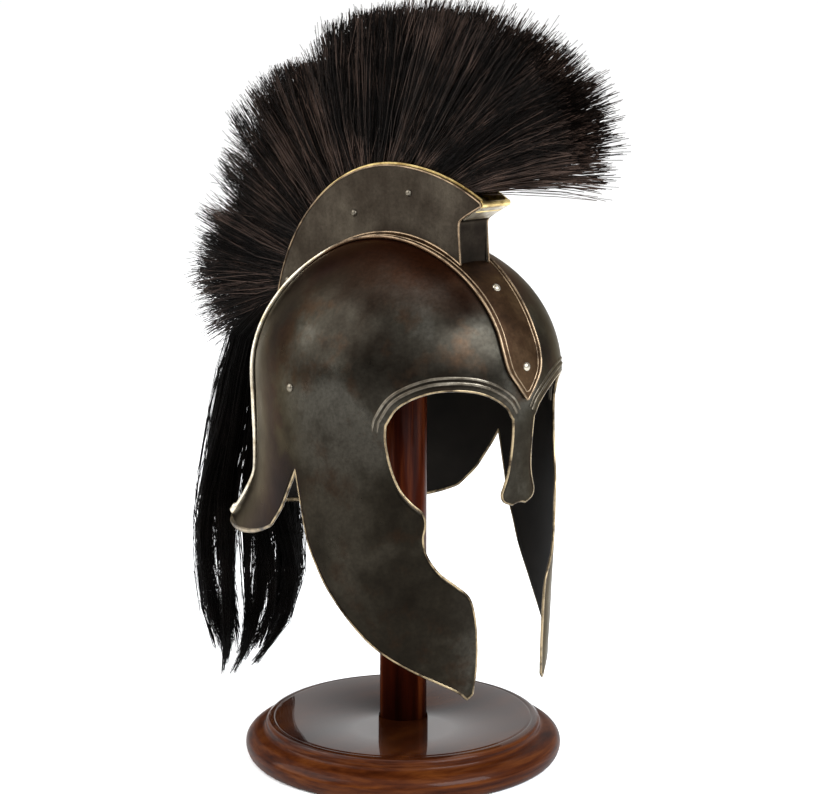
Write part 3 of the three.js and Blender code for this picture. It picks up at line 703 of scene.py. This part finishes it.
def make_box():
    """The two side plates, with softened outer edges."""
    bm = bmesh.new()
    outline = box_top() + box_front() + box_foot(BAND_THICKNESS * 0.6)
    for side in (1, -1):
        verts = [bm.verts.new((side * BOX_HALF_WIDTH, y, z)) for y, z in outline]
        pushed = bmesh.ops.extrude_face_region(bm, geom=[bm.faces.new(verts)], use_keep_orig=True)
        moved = [item for item in pushed["geom"] if isinstance(item, bmesh.types.BMVert)]
        bmesh.ops.translate(bm, verts=moved, vec=(-side * PLATE_THICKNESS, 0, 0))
    bmesh.ops.recalc_face_normals(bm, faces=bm.faces)
    rims = [
        edge for edge in bm.edges
        if abs(edge.verts[0].co.x) == abs(edge.verts[1].co.x)
        and abs(abs(edge.verts[0].co.x) - BOX_HALF_WIDTH) < 1e-7 and len(edge.link_faces) == 2
    ]
    bmesh.ops.bevel(
        bm, geom=rims, offset=0.45 * MM, offset_type="OFFSET", affect="EDGES",
        segments=2, profile=0.5, material=-1,
    )
    return bm


def make_box_front():
    """The coved front plate, set back between the side plates. Its upper part under the lip is pale brass
    as a painted reflection; the part below is dark bronze.
    """
    foot_y = CREST_MIDDLE - BOX_FRONT_REACH
    line = [*box_front(PLATE_THICKNESS), (foot_y + PLATE_THICKNESS, skin_height(0, foot_y))]
    half = BOX_HALF_WIDTH - PLATE_THICKNESS * 0.9
    bm = bmesh.new()
    verts = [bm.verts.new((-half, y, z)) for y, z in line]
    for one, other in zip(verts, verts[1:]):
        bm.edges.new((one, other))
    swept = bmesh.ops.extrude_edge_only(bm, edges=bm.edges[:])
    moved = [item for item in swept["geom"] if isinstance(item, bmesh.types.BMVert)]
    bmesh.ops.translate(bm, verts=moved, vec=(2 * half, 0, 0))
    bmesh.ops.recalc_face_normals(bm, faces=bm.faces)
    bmesh.ops.solidify(bm, geom=bm.faces[:], thickness=PLATE_THICKNESS)
    bmesh.ops.recalc_face_normals(bm, faces=bm.faces)
    # Above this level the front is coloured pale as a painted reflection.
    bend = crest_arc(CREST_LIP_TURN, 0)[1] - BOX_LIP_THICKNESS * 2.4
    for face in bm.faces:
        face.material_index = 1 if face.calc_center_median().z > bend else 0
    return bm


def make_box_trim():
    """Worn edges of the box: a bead along each plate's top and front, and one along its foot."""
    lines = []
    for side in (1, -1):
        x = side * (BOX_HALF_WIDTH + 0.1 * MM)
        top = [Vector((x, y, z)) for y, z in box_top(0.6 * MM)]
        front = [Vector((x, y + 0.4 * MM, z)) for y, z in box_front()]
        foot = [Vector((x, y, z)) for y, z in box_foot(BAND_THICKNESS + 0.5 * MM)]
        front.append(foot[0] + Vector((0, 0.4 * MM, 0)))
        lines.append([(point, 0.62 * MM) for point in even_line(top + front, 2 * MM)])
        lines.append([(point, 0.8 * MM) for point in even_line(foot, 2 * MM)])
    return lines


def make_lining():
    """The brass channel of the trough, whose lips show above the side plates."""
    half = BOX_HALF_WIDTH - PLATE_THICKNESS - CLEARANCE
    floor = TROUGH_DEPTH - CLEARANCE
    profile = [(-half, -LINING_LIP), (-half, floor), (half, floor), (half, -LINING_LIP)]
    bm = bmesh.new()

    def channel(along, across):
        x, inset = profile[round(3 * across)]
        y, z = crest_arc(LINING_BACK_TURN + along * (LINING_FRONT_TURN + 1.5 - LINING_BACK_TURN), inset)
        return Vector((x, y, z))

    add_grid(bm, 90, 3, channel)
    bmesh.ops.recalc_face_normals(bm, faces=bm.faces)
    bmesh.ops.solidify(bm, geom=bm.faces[:], thickness=LINING_THICKNESS)
    bmesh.ops.recalc_face_normals(bm, faces=bm.faces)
    return bm


def make_lip():
    """The rounded brass lip across the front of the trough."""
    y, z = crest_arc(CREST_LIP_TURN, 1.6 * MM)
    half = BOX_HALF_WIDTH - 0.5 * MM
    line = [Vector((x, y - 0.4 * MM, z)) for x in (-half, half)]
    return [[(point, 2.1 * MM) for point in even_line(line, 1.5 * MM)]]


def add_rivet(bm, spot, direction, material, share=1.0):
    """A domed rivet head, half sunk where it sits, at a share of the full radius."""
    turn = Vector((0, 0, 1)).rotation_difference(direction).to_matrix().to_4x4()
    size = Matrix.Diagonal((RIVET_RADIUS * share, RIVET_RADIUS * share, RIVET_RISE, 1))
    made = bmesh.ops.create_uvsphere(
        bm, u_segments=24, v_segments=14, radius=1, matrix=Matrix.Translation(spot) @ turn @ size,
    )
    for face in {face for vert in made["verts"] for face in vert.link_faces}:
        face.material_index = material


def make_rivets():
    """Bright rivets on the band, and darker ones on the box's sides and on the bowl's."""
    bm = bmesh.new()
    for pitch in BAND_RIVETS:
        direction = over_bowl(pitch, 0)
        add_rivet(bm, skin_along(direction, BAND_SEAT + BAND_THICKNESS), direction, 0)
    for side in (-1, 1):
        for turn, inset in BOX_RIVETS:
            y, z = crest_arc(turn, inset)
            spot = Vector((side * BOX_HALF_WIDTH, y, z))
            add_rivet(bm, spot, Vector((side, 0, 0)), 1, BOX_RIVET_SHARE)
        to_bowl = Vector((side * HALF_WIDTH, BOWL_RIVET_SETBACK, 0)).normalized()
        add_rivet(bm, skin_along(to_bowl), to_bowl, 1)
    return bm


def turned(profile, steps):
    """A turned body: the profile holds radii and heights, from the axis back to the axis."""
    bm = bmesh.new()
    verts = [bm.verts.new((radius, 0, height)) for radius, height in profile]
    edges = [bm.edges.new(pair) for pair in zip(verts, verts[1:])]
    bmesh.ops.spin(
        bm, geom=verts + edges, cent=(0, 0, 0), axis=(0, 0, 1), angle=2 * math.pi,
        steps=steps, use_merge=True,
    )
    merge_close(bm, 0.01 * MM)
    bmesh.ops.recalc_face_normals(bm, faces=bm.faces)
    return bm


def make_base():
    """The turned base: the post's socket, a flat top with a fine groove, a step and the bullnose rim."""
    step = BASE_STEP
    profile = [
        (0, BASE_THICKNESS - SOCKET_DEPTH),
        (POST_RADIUS + CLEARANCE, BASE_THICKNESS - SOCKET_DEPTH),
        (POST_RADIUS + CLEARANCE, BASE_THICKNESS - 0.4 * MM),
        (POST_RADIUS + CLEARANCE + 0.4 * MM, BASE_THICKNESS),
        (BASE_TOP_RADIUS - 3.4 * step, BASE_THICKNESS),
        (BASE_TOP_RADIUS - 3 * step, BASE_THICKNESS),
        (BASE_TOP_RADIUS - 2.75 * step, BASE_THICKNESS - 0.5 * MM),
        (BASE_TOP_RADIUS - 2.5 * step, BASE_THICKNESS - 0.5 * MM),
        (BASE_TOP_RADIUS - 2.25 * step, BASE_THICKNESS - 0.1 * MM),
        (BASE_TOP_RADIUS - 2 * step, BASE_THICKNESS),
    ]
    for item in range(1, 9):
        turn = math.pi / 2 * item / 8
        profile.append((
            BASE_TOP_RADIUS - 2 * step + (2 * step + 1 * MM) * math.sin(turn),
            BASE_THICKNESS - 2 * step + 2 * step * math.cos(turn),
        ))
    profile.append((BASE_TOP_RADIUS + 1.2 * MM, BASE_THICKNESS - 3 * step))
    profile.append((BASE_TOP_RADIUS + 2 * MM, BASE_THICKNESS - 3.6 * step))
    rim_height = BASE_THICKNESS - 4 * step
    middle = rim_height / 2
    for item in range(25):
        turn = math.pi * (0.5 - item / 24)
        rest = BASE_FOOT_RADIUS if item > 12 else BASE_TOP_RADIUS + 4 * MM
        profile.append((rest + (BASE_RADIUS - rest) * math.cos(turn), middle + middle * math.sin(turn)))
    profile.append((0, 0))
    return turned(profile, 128)


def make_post():
    """The round post, with a softened top edge."""
    low, high = post_low[2], post_high[2]
    edge = 0.5 * MM
    sides = [(POST_RADIUS, low), (POST_RADIUS, high - edge)]
    return turned([(0, low), *sides, (POST_RADIUS - edge, high), (0, high)], 96)


def make_cap():
    """The domed rest under the crown."""
    radius = cap_high[0]
    low, high = cap_low[2], cap_high[2]
    dome = [(radius * step / 10, high - CAP_DOME_RISE * (step / 10) ** 2) for step in range(10, -1, -1)]
    return turned([(0, low), (radius - 2 * MM, low), (radius, low + 2 * MM), *dome], 64)


def fan_strands(count):
    """The fan's strands in tufts, from the trough to their cut ends, sorted from dark to brown."""
    tufts = []
    for _ in range(FAN_TUFTS):
        low = 0.78 if random.random() < 0.16 else 0
        tufts.append((
            random.uniform(low, 1), random.uniform(-1, 1), random.gauss(0, 3.2), random.gauss(0, 0.16),
            random.uniform(0.95, 1.01), random.gauss(0, 4) * MM, random.random(),
        ))
    strands = []
    for _ in range(count):
        tuft_along, tuft_side, tuft_lean, tuft_aside, tuft_length, tuft_bend, tone = random.choice(tufts)
        along = min(max(tuft_along + random.gauss(0, 0.009), 0), 1)
        loose = 3 if random.random() < FAN_LOOSE_SHARE and along > FAN_FRONT_SHARE else 1
        beside = min(max(tuft_side + random.gauss(0, 0.16), -1), 1)
        turn = LINING_BACK_TURN + (1 - along) * (HAIR_FRONT_TURN - LINING_BACK_TURN)
        y, z = crest_arc(turn, HAIR_ROOT_DEPTH)
        root = Vector((beside * HAIR_ROOT_HALF, y, z))
        lean = read_table(FAN_ROWS, 1, along) + tuft_lean + random.gauss(0, 2.6) * loose
        length = HAIR_LENGTH * read_table(FAN_ROWS, 2, along) * tuft_length
        cut = random.random() < FAN_SHORT_SHARE
        short = random.uniform(0.5, 0.95) if cut else 1 - abs(random.gauss(0, 0.02))
        length = (length + HAIR_ROOT_DEPTH) * short
        spread = (beside + tuft_aside) * HAIR_TIP_HALF * random.uniform(0.85, 1.15) * (0.35 + 0.65 * short)
        droop = -(0.02 + 0.03 * random.random()) * length * abs(math.sin(math.radians(lean)))
        bend = (tuft_bend + random.gauss(0, 1.5) * MM * loose) * short
        if along < FAN_FRONT_SHARE:
            bend = abs(bend)
        way = Vector((0, -math.sin(math.radians(lean)), math.cos(math.radians(lean))))
        across = Vector((0, way.z, -way.y))
        radius = STRAND_RADIUS * random.uniform(0.8, 1.5 if tone > 0.6 else 1.2)
        line = []
        for share in (0, 0.35, 0.72, 1):
            point = root + way * length * share
            point.x += (spread - root.x) * share
            point.z += droop * share * share
            point += across * bend * math.sin(math.pi * share)
            line.append((point, radius * (1.1 - 0.25 * share)))
        strands.append((tone + random.gauss(0, 0.35), line))
    strands.sort(key=lambda strand: strand[0])
    return [line for _, line in strands]


def tail_strands(count):
    """Horsehair of the tail: long wavy locks that part lower down and draw together at the ends."""
    head_y, head_z = crest_arc(CREST_TIP_TURN, 0)
    head = Vector((0, head_y + TAIL_HEAD_SETBACK, head_z + TAIL_HEAD_RISE))
    locks = []
    for item in range(TAIL_LOCKS):
        turn = 2 * math.pi * item / TAIL_LOCKS
        ring = 1 if item % 3 else 0.5
        beside, deep = math.sin(turn) * ring, math.cos(turn) * ring
        if abs(beside * 0.9 - deep * 0.36 + TAIL_PARTING) < TAIL_PARTING_HALF:
            continue
        locks.append((
            beside, deep, random.uniform(0, 2 * math.pi),
            random.uniform(0.9, 1.0), random.uniform(5, 9), random.uniform(3, 8) * MM,
        ))
    strands = []
    for _ in range(count):
        beside, deep, phase, reach, turns, swing = random.choice(locks)
        loose = 0.24 if random.random() < TAIL_LOOSE_SHARE else 0.1
        stray = max(-0.3, min(0.3, random.gauss(0, loose)))
        stray_deep = random.gauss(0, loose)
        own_reach = reach * (1 - abs(random.gauss(0, 0.09)))
        own_phase = phase + random.gauss(0, 0.4)
        line = []
        for step in range(TAIL_STEPS + 1):
            way = step / TAIL_STEPS
            drop = own_reach * step / TAIL_STEPS
            drawn = (drop + way) / 2
            spread = TAIL_SPREAD * read_table(TAIL_ROWS, 2, drawn)
            depth = TAIL_DEPTH * read_table(TAIL_ROWS, 3, drawn)
            back = head.y + TAIL_SWING * read_table(TAIL_ROWS, 1, drop)
            gather = max(0.38, 1.85 - 2.05 * drop)
            wave = math.sin(own_phase + turns * drop) * swing * drop
            aside = wave + TAIL_ASIDE * math.sin(1.35 * math.pi * drop)
            point = Vector((
                (beside + stray * gather) * spread * 0.95 + aside,
                back + (deep + stray_deep * gather) * depth * 0.9 - wave * 0.5,
                head.z - TAIL_LENGTH * drop,
            ))
            line.append((point, STRAND_RADIUS * (1.6 - 0.9 * way)))
        strands.append(line)
    return strands


def shader(name):
    """A new material with its nodes, a helper that links two sockets, and its Principled BSDF."""
    material = bpy.data.materials.new(name)
    material.use_nodes = True
    tree = material.node_tree
    return material, tree.nodes, tree.links.new, tree.nodes["Principled BSDF"]


def set_values(node, **values):
    """Constant values on a node's own sockets, by their names with underscores for spaces."""
    for name, value in values.items():
        node.inputs[name.replace("_", " ")].default_value = value


def add_noise(nodes, link, scale, detail=4, roughness=0.55, stretch=None):
    """Noise over the piece's own object coordinates, in metres, stretched along an axis if asked."""
    coords = nodes.new("ShaderNodeTexCoord")
    noise = nodes.new("ShaderNodeTexNoise")
    set_values(noise, Scale=scale, Detail=detail, Roughness=roughness)
    if stretch:
        mapping = nodes.new("ShaderNodeMapping")
        set_values(mapping, Scale=stretch)
        link(coords.outputs["Object"], mapping.inputs["Vector"])
        link(mapping.outputs["Vector"], noise.inputs["Vector"])
    else:
        link(coords.outputs["Object"], noise.inputs["Vector"])
    return noise.outputs["Fac"]


def add_ramp(nodes, link, source, stops):
    """A colour from a value, by stops that hold a position and a colour."""
    ramp = nodes.new("ShaderNodeValToRGB")
    elements = ramp.color_ramp.elements
    elements[0].position, elements[1].position = stops[0][0], stops[-1][0]
    for position, _ in stops[1:-1]:
        elements.new(position)
    for element, (_, colour) in zip(elements, stops):
        element.color = (*colour, 1)
    link(source, ramp.inputs["Fac"])
    return ramp.outputs["Color"]


def add_range(nodes, link, source, low, high, to_low, to_high):
    """A value moved from one range to another, held at its ends."""
    spread = nodes.new("ShaderNodeMapRange")
    set_values(spread, From_Min=low, From_Max=high, To_Min=to_low, To_Max=to_high)
    link(source, spread.inputs["Value"])
    return spread.outputs["Result"]


def add_mix(nodes, link, factor, first, second, mode="MIX"):
    """Two colours or sockets mixed by a factor."""
    mix = nodes.new("ShaderNodeMix")
    mix.data_type = "RGBA"
    mix.blend_type = mode
    if isinstance(factor, float):
        mix.inputs["Factor"].default_value = factor
    else:
        link(factor, mix.inputs["Factor"])
    for socket, value in ((mix.inputs[6], first), (mix.inputs[7], second)):
        if isinstance(value, tuple):
            socket.default_value = (*value, 1)
        else:
            link(value, socket)
    return mix.outputs[2]


def add_bump(nodes, link, source, strength, distance, principled):
    """Fine relief from a value, on the shader's normal."""
    bump = nodes.new("ShaderNodeBump")
    set_values(bump, Strength=strength, Distance=distance)
    link(source, bump.inputs["Height"])
    link(bump.outputs["Normal"], principled.inputs["Normal"])


def add_product(nodes, link, first, second):
    """The product of two values."""
    both = nodes.new("ShaderNodeMath")
    both.operation = "MULTIPLY"
    link(first, both.inputs[0])
    link(second, both.inputs[1])
    return both.outputs["Value"]


def add_places(nodes, link, colour, crown, guards):
    """Tints the helmet's colour near the crown, and darkens the guards below the brow with painted shade.
    """
    coords = nodes.new("ShaderNodeTexCoord")
    split = nodes.new("ShaderNodeSeparateXYZ")
    link(coords.outputs["Object"], split.inputs["Vector"])
    size = nodes.new("ShaderNodeMath")
    size.operation = "ABSOLUTE"
    link(split.outputs["X"], size.inputs[0])
    beside, height = size.outputs["Value"], split.outputs["Z"]
    crown_side = add_range(nodes, link, beside, *CROWN_TINT_SIDE, 1, 0)
    crown_rise = add_range(nodes, link, height, *CROWN_TINT_HEIGHT, 0, 1)
    top = add_product(nodes, link, crown_side, crown_rise)
    # Painted shade: the guards' colour is multiplied darker downwards.
    guard_side = add_range(nodes, link, beside, *GUARD_SHADE_SIDE, 0, 1)
    guard_drop = add_range(nodes, link, height, *GUARD_SHADE_HEIGHT, 1, 0)
    low = add_product(nodes, link, guard_side, guard_drop)
    return add_mix(nodes, link, low, add_mix(nodes, link, top, colour, crown), guards, "MULTIPLY")


def patina(name, stops, rough_low, rough_high, scale=16, stain=None, crown=None, guards=None):
    """Darkened bronze: mottled in three tones, with fine specks and faint hammer marks."""
    material, nodes, link, principled = shader(name)
    broad = add_noise(nodes, link, scale, 5, 0.6)
    colour = add_ramp(nodes, link, broad, stops)
    if stain:
        patches = add_range(nodes, link, add_noise(nodes, link, scale * 1.9, 6, 0.62), 0.52, 0.68, 0, 0.8)
        colour = add_mix(nodes, link, patches, colour, stain)
    # Where asked, a reddish tint near the crown and painted shade on the guards.
    if crown:
        colour = add_places(nodes, link, colour, crown, guards)
    grain = add_range(nodes, link, add_noise(nodes, link, 420, 3, 0.7), 0.3, 0.7, 0.72, 1.2)
    colour = add_mix(nodes, link, 1.0, colour, grain, "MULTIPLY")
    link(colour, principled.inputs["Base Color"])
    wear = add_noise(nodes, link, 34, 4, 0.6)
    link(add_range(nodes, link, wear, 0.3, 0.7, rough_low, rough_high), principled.inputs["Roughness"])
    set_values(principled, Metallic=BRONZE_METALLIC, Specular_Tint=(0.5, 0.45, 0.36, 1))
    add_bump(nodes, link, add_noise(nodes, link, 70, 3, 0.5), 0.18, 0.0006, principled)
    return material


def worn_brass(name, bright, dark, roughness):
    """Rubbed brass that still keeps dark patina in patches."""
    material, nodes, link, principled = shader(name)
    patches = add_noise(nodes, link, 75, 4, 0.65)
    colour = add_ramp(nodes, link, patches, [(0.36, dark), (0.56, bright)])
    link(colour, principled.inputs["Base Color"])
    set_values(principled, Metallic=0.9, Roughness=roughness)
    add_bump(nodes, link, add_noise(nodes, link, 300, 2, 0.5), 0.25, 0.0003, principled)
    return material


def dark_inside(name):
    """The dull, nearly black inside of the sheet."""
    material, nodes, link, principled = shader(name)
    stops = [(0.3, (0.004, 0.003, 0.002)), (0.7, (0.009, 0.007, 0.005))]
    colour = add_ramp(nodes, link, add_noise(nodes, link, 40), stops)
    link(colour, principled.inputs["Base Color"])
    set_values(principled, Roughness=0.75, Specular_IOR_Level=0.1)
    return material


def hair(name, deep, glint, shine):
    """Horsehair of one tone, which shifts softly over the fan from its deep colour to a lighter glint
    colour, a painted highlight.
    """
    material, nodes, link, principled = shader(name)
    patches = add_noise(nodes, link, 28, 3, 0.65)
    link(add_ramp(nodes, link, patches, [(0.4, deep), (0.62, glint)]), principled.inputs["Base Color"])
    set_values(principled, Roughness=0.42, Specular_IOR_Level=shine)
    return material


def polished_wood(name, stretch, dark, warm, bright, coat, top=None):
    """Lacquered red mahogany. Above the height given as top it is glossier, and darker by painted shade.
    """
    material, nodes, link, principled = shader(name)
    grain = add_noise(nodes, link, 26, 5, 0.62, stretch)
    colour = add_ramp(nodes, link, grain, [(0.33, dark), (0.5, warm), (0.7, bright)])
    set_values(principled, Roughness=0.4, Specular_IOR_Level=0.03, Coat_Weight=coat, Coat_Roughness=0.035)
    if top:
        coords = nodes.new("ShaderNodeTexCoord")
        split = nodes.new("ShaderNodeSeparateXYZ")
        link(coords.outputs["Object"], split.inputs["Vector"])
        above = add_range(nodes, link, split.outputs["Z"], top, top + 1 * MM, coat, TOP_COAT)
        link(above, principled.inputs["Coat Weight"])
        # Painted shade: the top's colour is multiplied darker.
        painted_shade = add_range(nodes, link, split.outputs["Z"], top, top + 1 * MM, 1, TOP_PAINTED_SHADE)
        colour = add_mix(nodes, link, 1.0, colour, painted_shade, "MULTIPLY")
    link(colour, principled.inputs["Base Color"])
    return material


# The guards colour is painted shade, multiplied in below the brow.
bronze = patina(
    "bronze",
    [(0.36, (0.0070, 0.0052, 0.0036)), (0.5, (0.0175, 0.0153, 0.0116)), (0.63, (0.043, 0.040, 0.033))],
    0.26, 0.40, stain=(0.024, 0.0125, 0.0065), crown=(0.034, 0.010, 0.004), guards=(0.40, 0.36, 0.31),
)
# A lighter bronze: the rivets' own tone, and on the brow's welts partly a painted highlight along the
# raised lines.
worn_bronze_and_highlight = patina(
    "worn_bronze_and_highlight",
    [(0.36, (0.045, 0.037, 0.027)), (0.5, (0.085, 0.073, 0.056)), (0.63, (0.150, 0.132, 0.104))],
    0.26, 0.36, scale=60,
)
dark_bronze = patina(
    "dark_bronze",
    [(0.36, (0.006, 0.0045, 0.0035)), (0.5, (0.012, 0.009, 0.007)), (0.63, (0.020, 0.016, 0.012))],
    0.34, 0.46, scale=40,
)
inside = dark_inside("inside")
band_bronze = patina(
    "band_bronze",
    [(0.34, (0.014, 0.007, 0.004)), (0.52, (0.035, 0.018, 0.009)), (0.7, (0.068, 0.040, 0.021))],
    0.30, 0.42, scale=30,
)
box_bronze = patina(
    "box_bronze",
    [(0.32, (0.014, 0.010, 0.007)), (0.5, (0.029, 0.023, 0.017)), (0.68, (0.052, 0.043, 0.032))],
    0.44, 0.55, scale=26,
)
edge_brass = worn_brass("edge_brass", (0.27, 0.205, 0.12), (0.034, 0.023, 0.013), 0.36)
rivet_brass = worn_brass("rivet_brass", (0.40, 0.36, 0.29), (0.10, 0.085, 0.065), 0.26)
tan_edge = worn_brass("tan_edge", (0.24, 0.17, 0.105), (0.050, 0.033, 0.020), 0.4)
# Pale brass: the back beads' own rubbed edge, and on the box front's upper part a painted reflection.
pale_brass_and_reflection = worn_brass("pale_brass_and_reflection", (0.62, 0.56, 0.44), (0.30, 0.24, 0.15), 0.34)
gold_brass = worn_brass("gold_brass", (0.68, 0.52, 0.22), (0.30, 0.20, 0.07), 0.32)
# Each hair finish's glint colour is a painted highlight; the brown one also carries the hair's own brown
# tone.
horsehair = hair("horsehair", (0.001, 0.0007, 0.0005), (0.003, 0.002, 0.0015), 0.04)
dark_hair = hair("dark_hair", (0.003, 0.002, 0.0015), (0.010, 0.0065, 0.005), 0.06)
brown_hair_and_glint = hair("brown_hair_and_glint", (0.012, 0.0075, 0.0055), (0.058, 0.036, 0.027), 0.1)
base_wood = polished_wood(
    "base_wood", (0.5, 1.6, 13),
    (0.013, 0.0024, 0.0006), (0.032, 0.0070, 0.0014), (0.066, 0.0180, 0.0034), 0.06, GLOSS_LEVEL,
)
post_wood = polished_wood(
    "post_wood", (4, 4, 0.2),
    (0.008, 0.0013, 0.0006), (0.028, 0.004, 0.0012), (0.11, 0.024, 0.006), 0.03,
)


def settle(piece, slot, *nodes):
    """The piece rides on the body and may stand for CAD nodes, which it hides. Its slot is not used."""
    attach(piece, "root")
    if nodes:
        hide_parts(*nodes)
    return piece


settle(new_piece("helm", make_shell(), [bronze, inside]), "bronze", "helmet_shell")
settle(tube_piece("helm_hem", make_hems(), [edge_brass]), "brass_trim")
# The welts' lighter bronze is partly a painted highlight on the raised lines.
settle(tube_piece("brow_welts", make_welts(), [worn_bronze_and_highlight]), "bronze")
settle(new_piece("band", make_band(), [band_bronze]), "band_bronze", "comb_band")
settle(tube_piece("band_beads", make_band_beads(), [tan_edge]), "brass_trim")
settle(tube_piece("back_beads", make_back_beads(), [pale_brass_and_reflection], 3), "brass_trim")
settle(new_piece("crest_plates", make_box(), [box_bronze], smooth=False), "box_bronze", "crest_box")
settle(new_piece("crest_front", make_box_front(), [dark_bronze, pale_brass_and_reflection], smooth=False), "box_bronze")
settle(tube_piece("crest_edges", make_box_trim(), [tan_edge]), "brass_trim")
settle(new_piece("crest_channel", make_lining(), [gold_brass], smooth=False), "brass_trim", "crest_lining")
settle(tube_piece("crest_lip", make_lip(), [gold_brass], 4), "brass_trim")
rivet_nodes = [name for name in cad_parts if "_rivet_" in name]
settle(new_piece("rivets", make_rivets(), [rivet_brass, worn_bronze_and_highlight]), "brass_trim", *rivet_nodes)
settle(new_piece("base", make_base(), [base_wood]), "mahogany", "stand_base")
settle(new_piece("post", make_post(), [post_wood]), "mahogany", "stand_post")
settle(new_piece("cap", make_cap(), [post_wood]), "mahogany", "post_cap")

fan = fan_strands(FAN_STRANDS)
fan_finishes = [horsehair, dark_hair, brown_hair_and_glint]
fan_share = math.ceil(FAN_STRANDS / len(fan_finishes))
for part, finish in enumerate(fan_finishes):
    lines = fan[part * fan_share:(part + 1) * fan_share]
    piece = tube_piece(f"crest_hair_{part + 1}", lines, [finish], 0)
    settle(piece, "horsehair", *(["plume_crest"] if part == 0 else []))
tail = tail_strands(TAIL_STRANDS)
for part in range(2):
    piece = tube_piece(f"tail_hair_{part + 1}", tail[part::2], [horsehair], 0)
    settle(piece, "horsehair", *(["plume_tail"] if part == 0 else []))


def add_floor():
    """A wide, plain, pale floor."""
    bm = bmesh.new()
    bmesh.ops.create_grid(bm, x_segments=1, y_segments=1, size=60)
    material, _, _, principled = shader("floor_white")
    set_values(principled, Base_Color=(0.92, 0.92, 0.92, 1), Roughness=0.9, Specular_IOR_Level=0.1)
    piece = new_piece("floor", bm, [material], smooth=False)


def add_area(name, location, size, power, colour=(1, 1, 1)):
    """A large soft lamp that faces the helmet."""
    light = bpy.data.lights.new(name, "AREA")
    light.shape = "RECTANGLE"
    light.size, light.size_y = size
    light.energy = power
    light.color = colour
    lamp = bpy.data.objects.new(name, light)
    bpy.context.scene.collection.objects.link(lamp)
    lamp.location = location
    lamp.rotation_euler = (Vector(LIGHT_TARGET) - Vector(location)).to_track_quat("-Z", "Y").to_euler()


def add_world():
    """A soft studio: brighter behind the object than behind the camera, and plain to the camera."""
    world = bpy.data.worlds.new("studio")
    bpy.context.scene.world = world
    world.use_nodes = True
    nodes = world.node_tree.nodes
    link = world.node_tree.links.new
    background = nodes["Background"]
    set_values(background, Color=(1, 1, 1, 1))
    coords = nodes.new("ShaderNodeTexCoord")
    facing = nodes.new("ShaderNodeVectorMath")
    facing.operation = "DOT_PRODUCT"
    facing.inputs[1].default_value = (-math.sin(CAMERA_AZIMUTH), math.cos(CAMERA_AZIMUTH), 0)
    link(coords.outputs["Generated"], facing.inputs[0])
    strengths = (WORLD_BEHIND_CAMERA, WORLD_BEHIND_OBJECT)
    light = add_range(nodes, link, facing.outputs["Value"], -0.7, 0.7, *strengths)
    path = nodes.new("ShaderNodeLightPath")
    plain = add_range(nodes, link, path.outputs["Is Camera Ray"], 0, 1, 0, 1)
    more = nodes.new("ShaderNodeMath")
    more.operation = "ADD"
    link(light, more.inputs[0])
    link(plain, more.inputs[1])
    link(more.outputs["Value"], background.inputs["Strength"])


def add_lights():
    """A very soft sun, and two large lamps for the broad sheens on the bronze and the wood."""
    sun = bpy.data.lights.new("sky", "SUN")
    sun.energy = 2.3
    sun.angle = math.radians(100)
    lamp = bpy.data.objects.new("sky", sun)
    bpy.context.scene.collection.objects.link(lamp)
    lamp.rotation_euler = Vector((0.35, 0.35, -1)).to_track_quat("-Z", "Y").to_euler()
    add_area("left_back", (-1.55, 1.1, 1.35), (2.2, 1.7), 62)
    add_area("front", (0.05, -1.75, 1.35), (1.5, 1.0), 88, (0.88, 0.94, 1))


def add_camera():
    """The camera, round from the front towards the helmet's right, and a little above."""
    camera = bpy.data.cameras.new("camera")
    camera.sensor_width = 36
    camera.lens = CAMERA_LENS
    camera.clip_start, camera.clip_end = 0.05, 200
    holder = bpy.data.objects.new("camera", camera)
    bpy.context.scene.collection.objects.link(holder)
    bpy.context.scene.camera = holder
    side = math.sin(CAMERA_AZIMUTH)
    ahead = math.cos(CAMERA_AZIMUTH)
    holder.location = (CAMERA_DISTANCE * side, -CAMERA_DISTANCE * ahead, CAMERA_HEIGHT)
    turn = CAMERA_AZIMUTH - CAMERA_YAW
    level = math.cos(CAMERA_PITCH)
    way = Vector((-math.sin(turn) * level, math.cos(turn) * level, -math.sin(CAMERA_PITCH)))
    holder.rotation_euler = way.to_track_quat("-Z", "Y").to_euler()


add_floor()
add_world()
add_lights()
add_camera()
bpy.context.scene.view_settings.view_transform = "Standard"
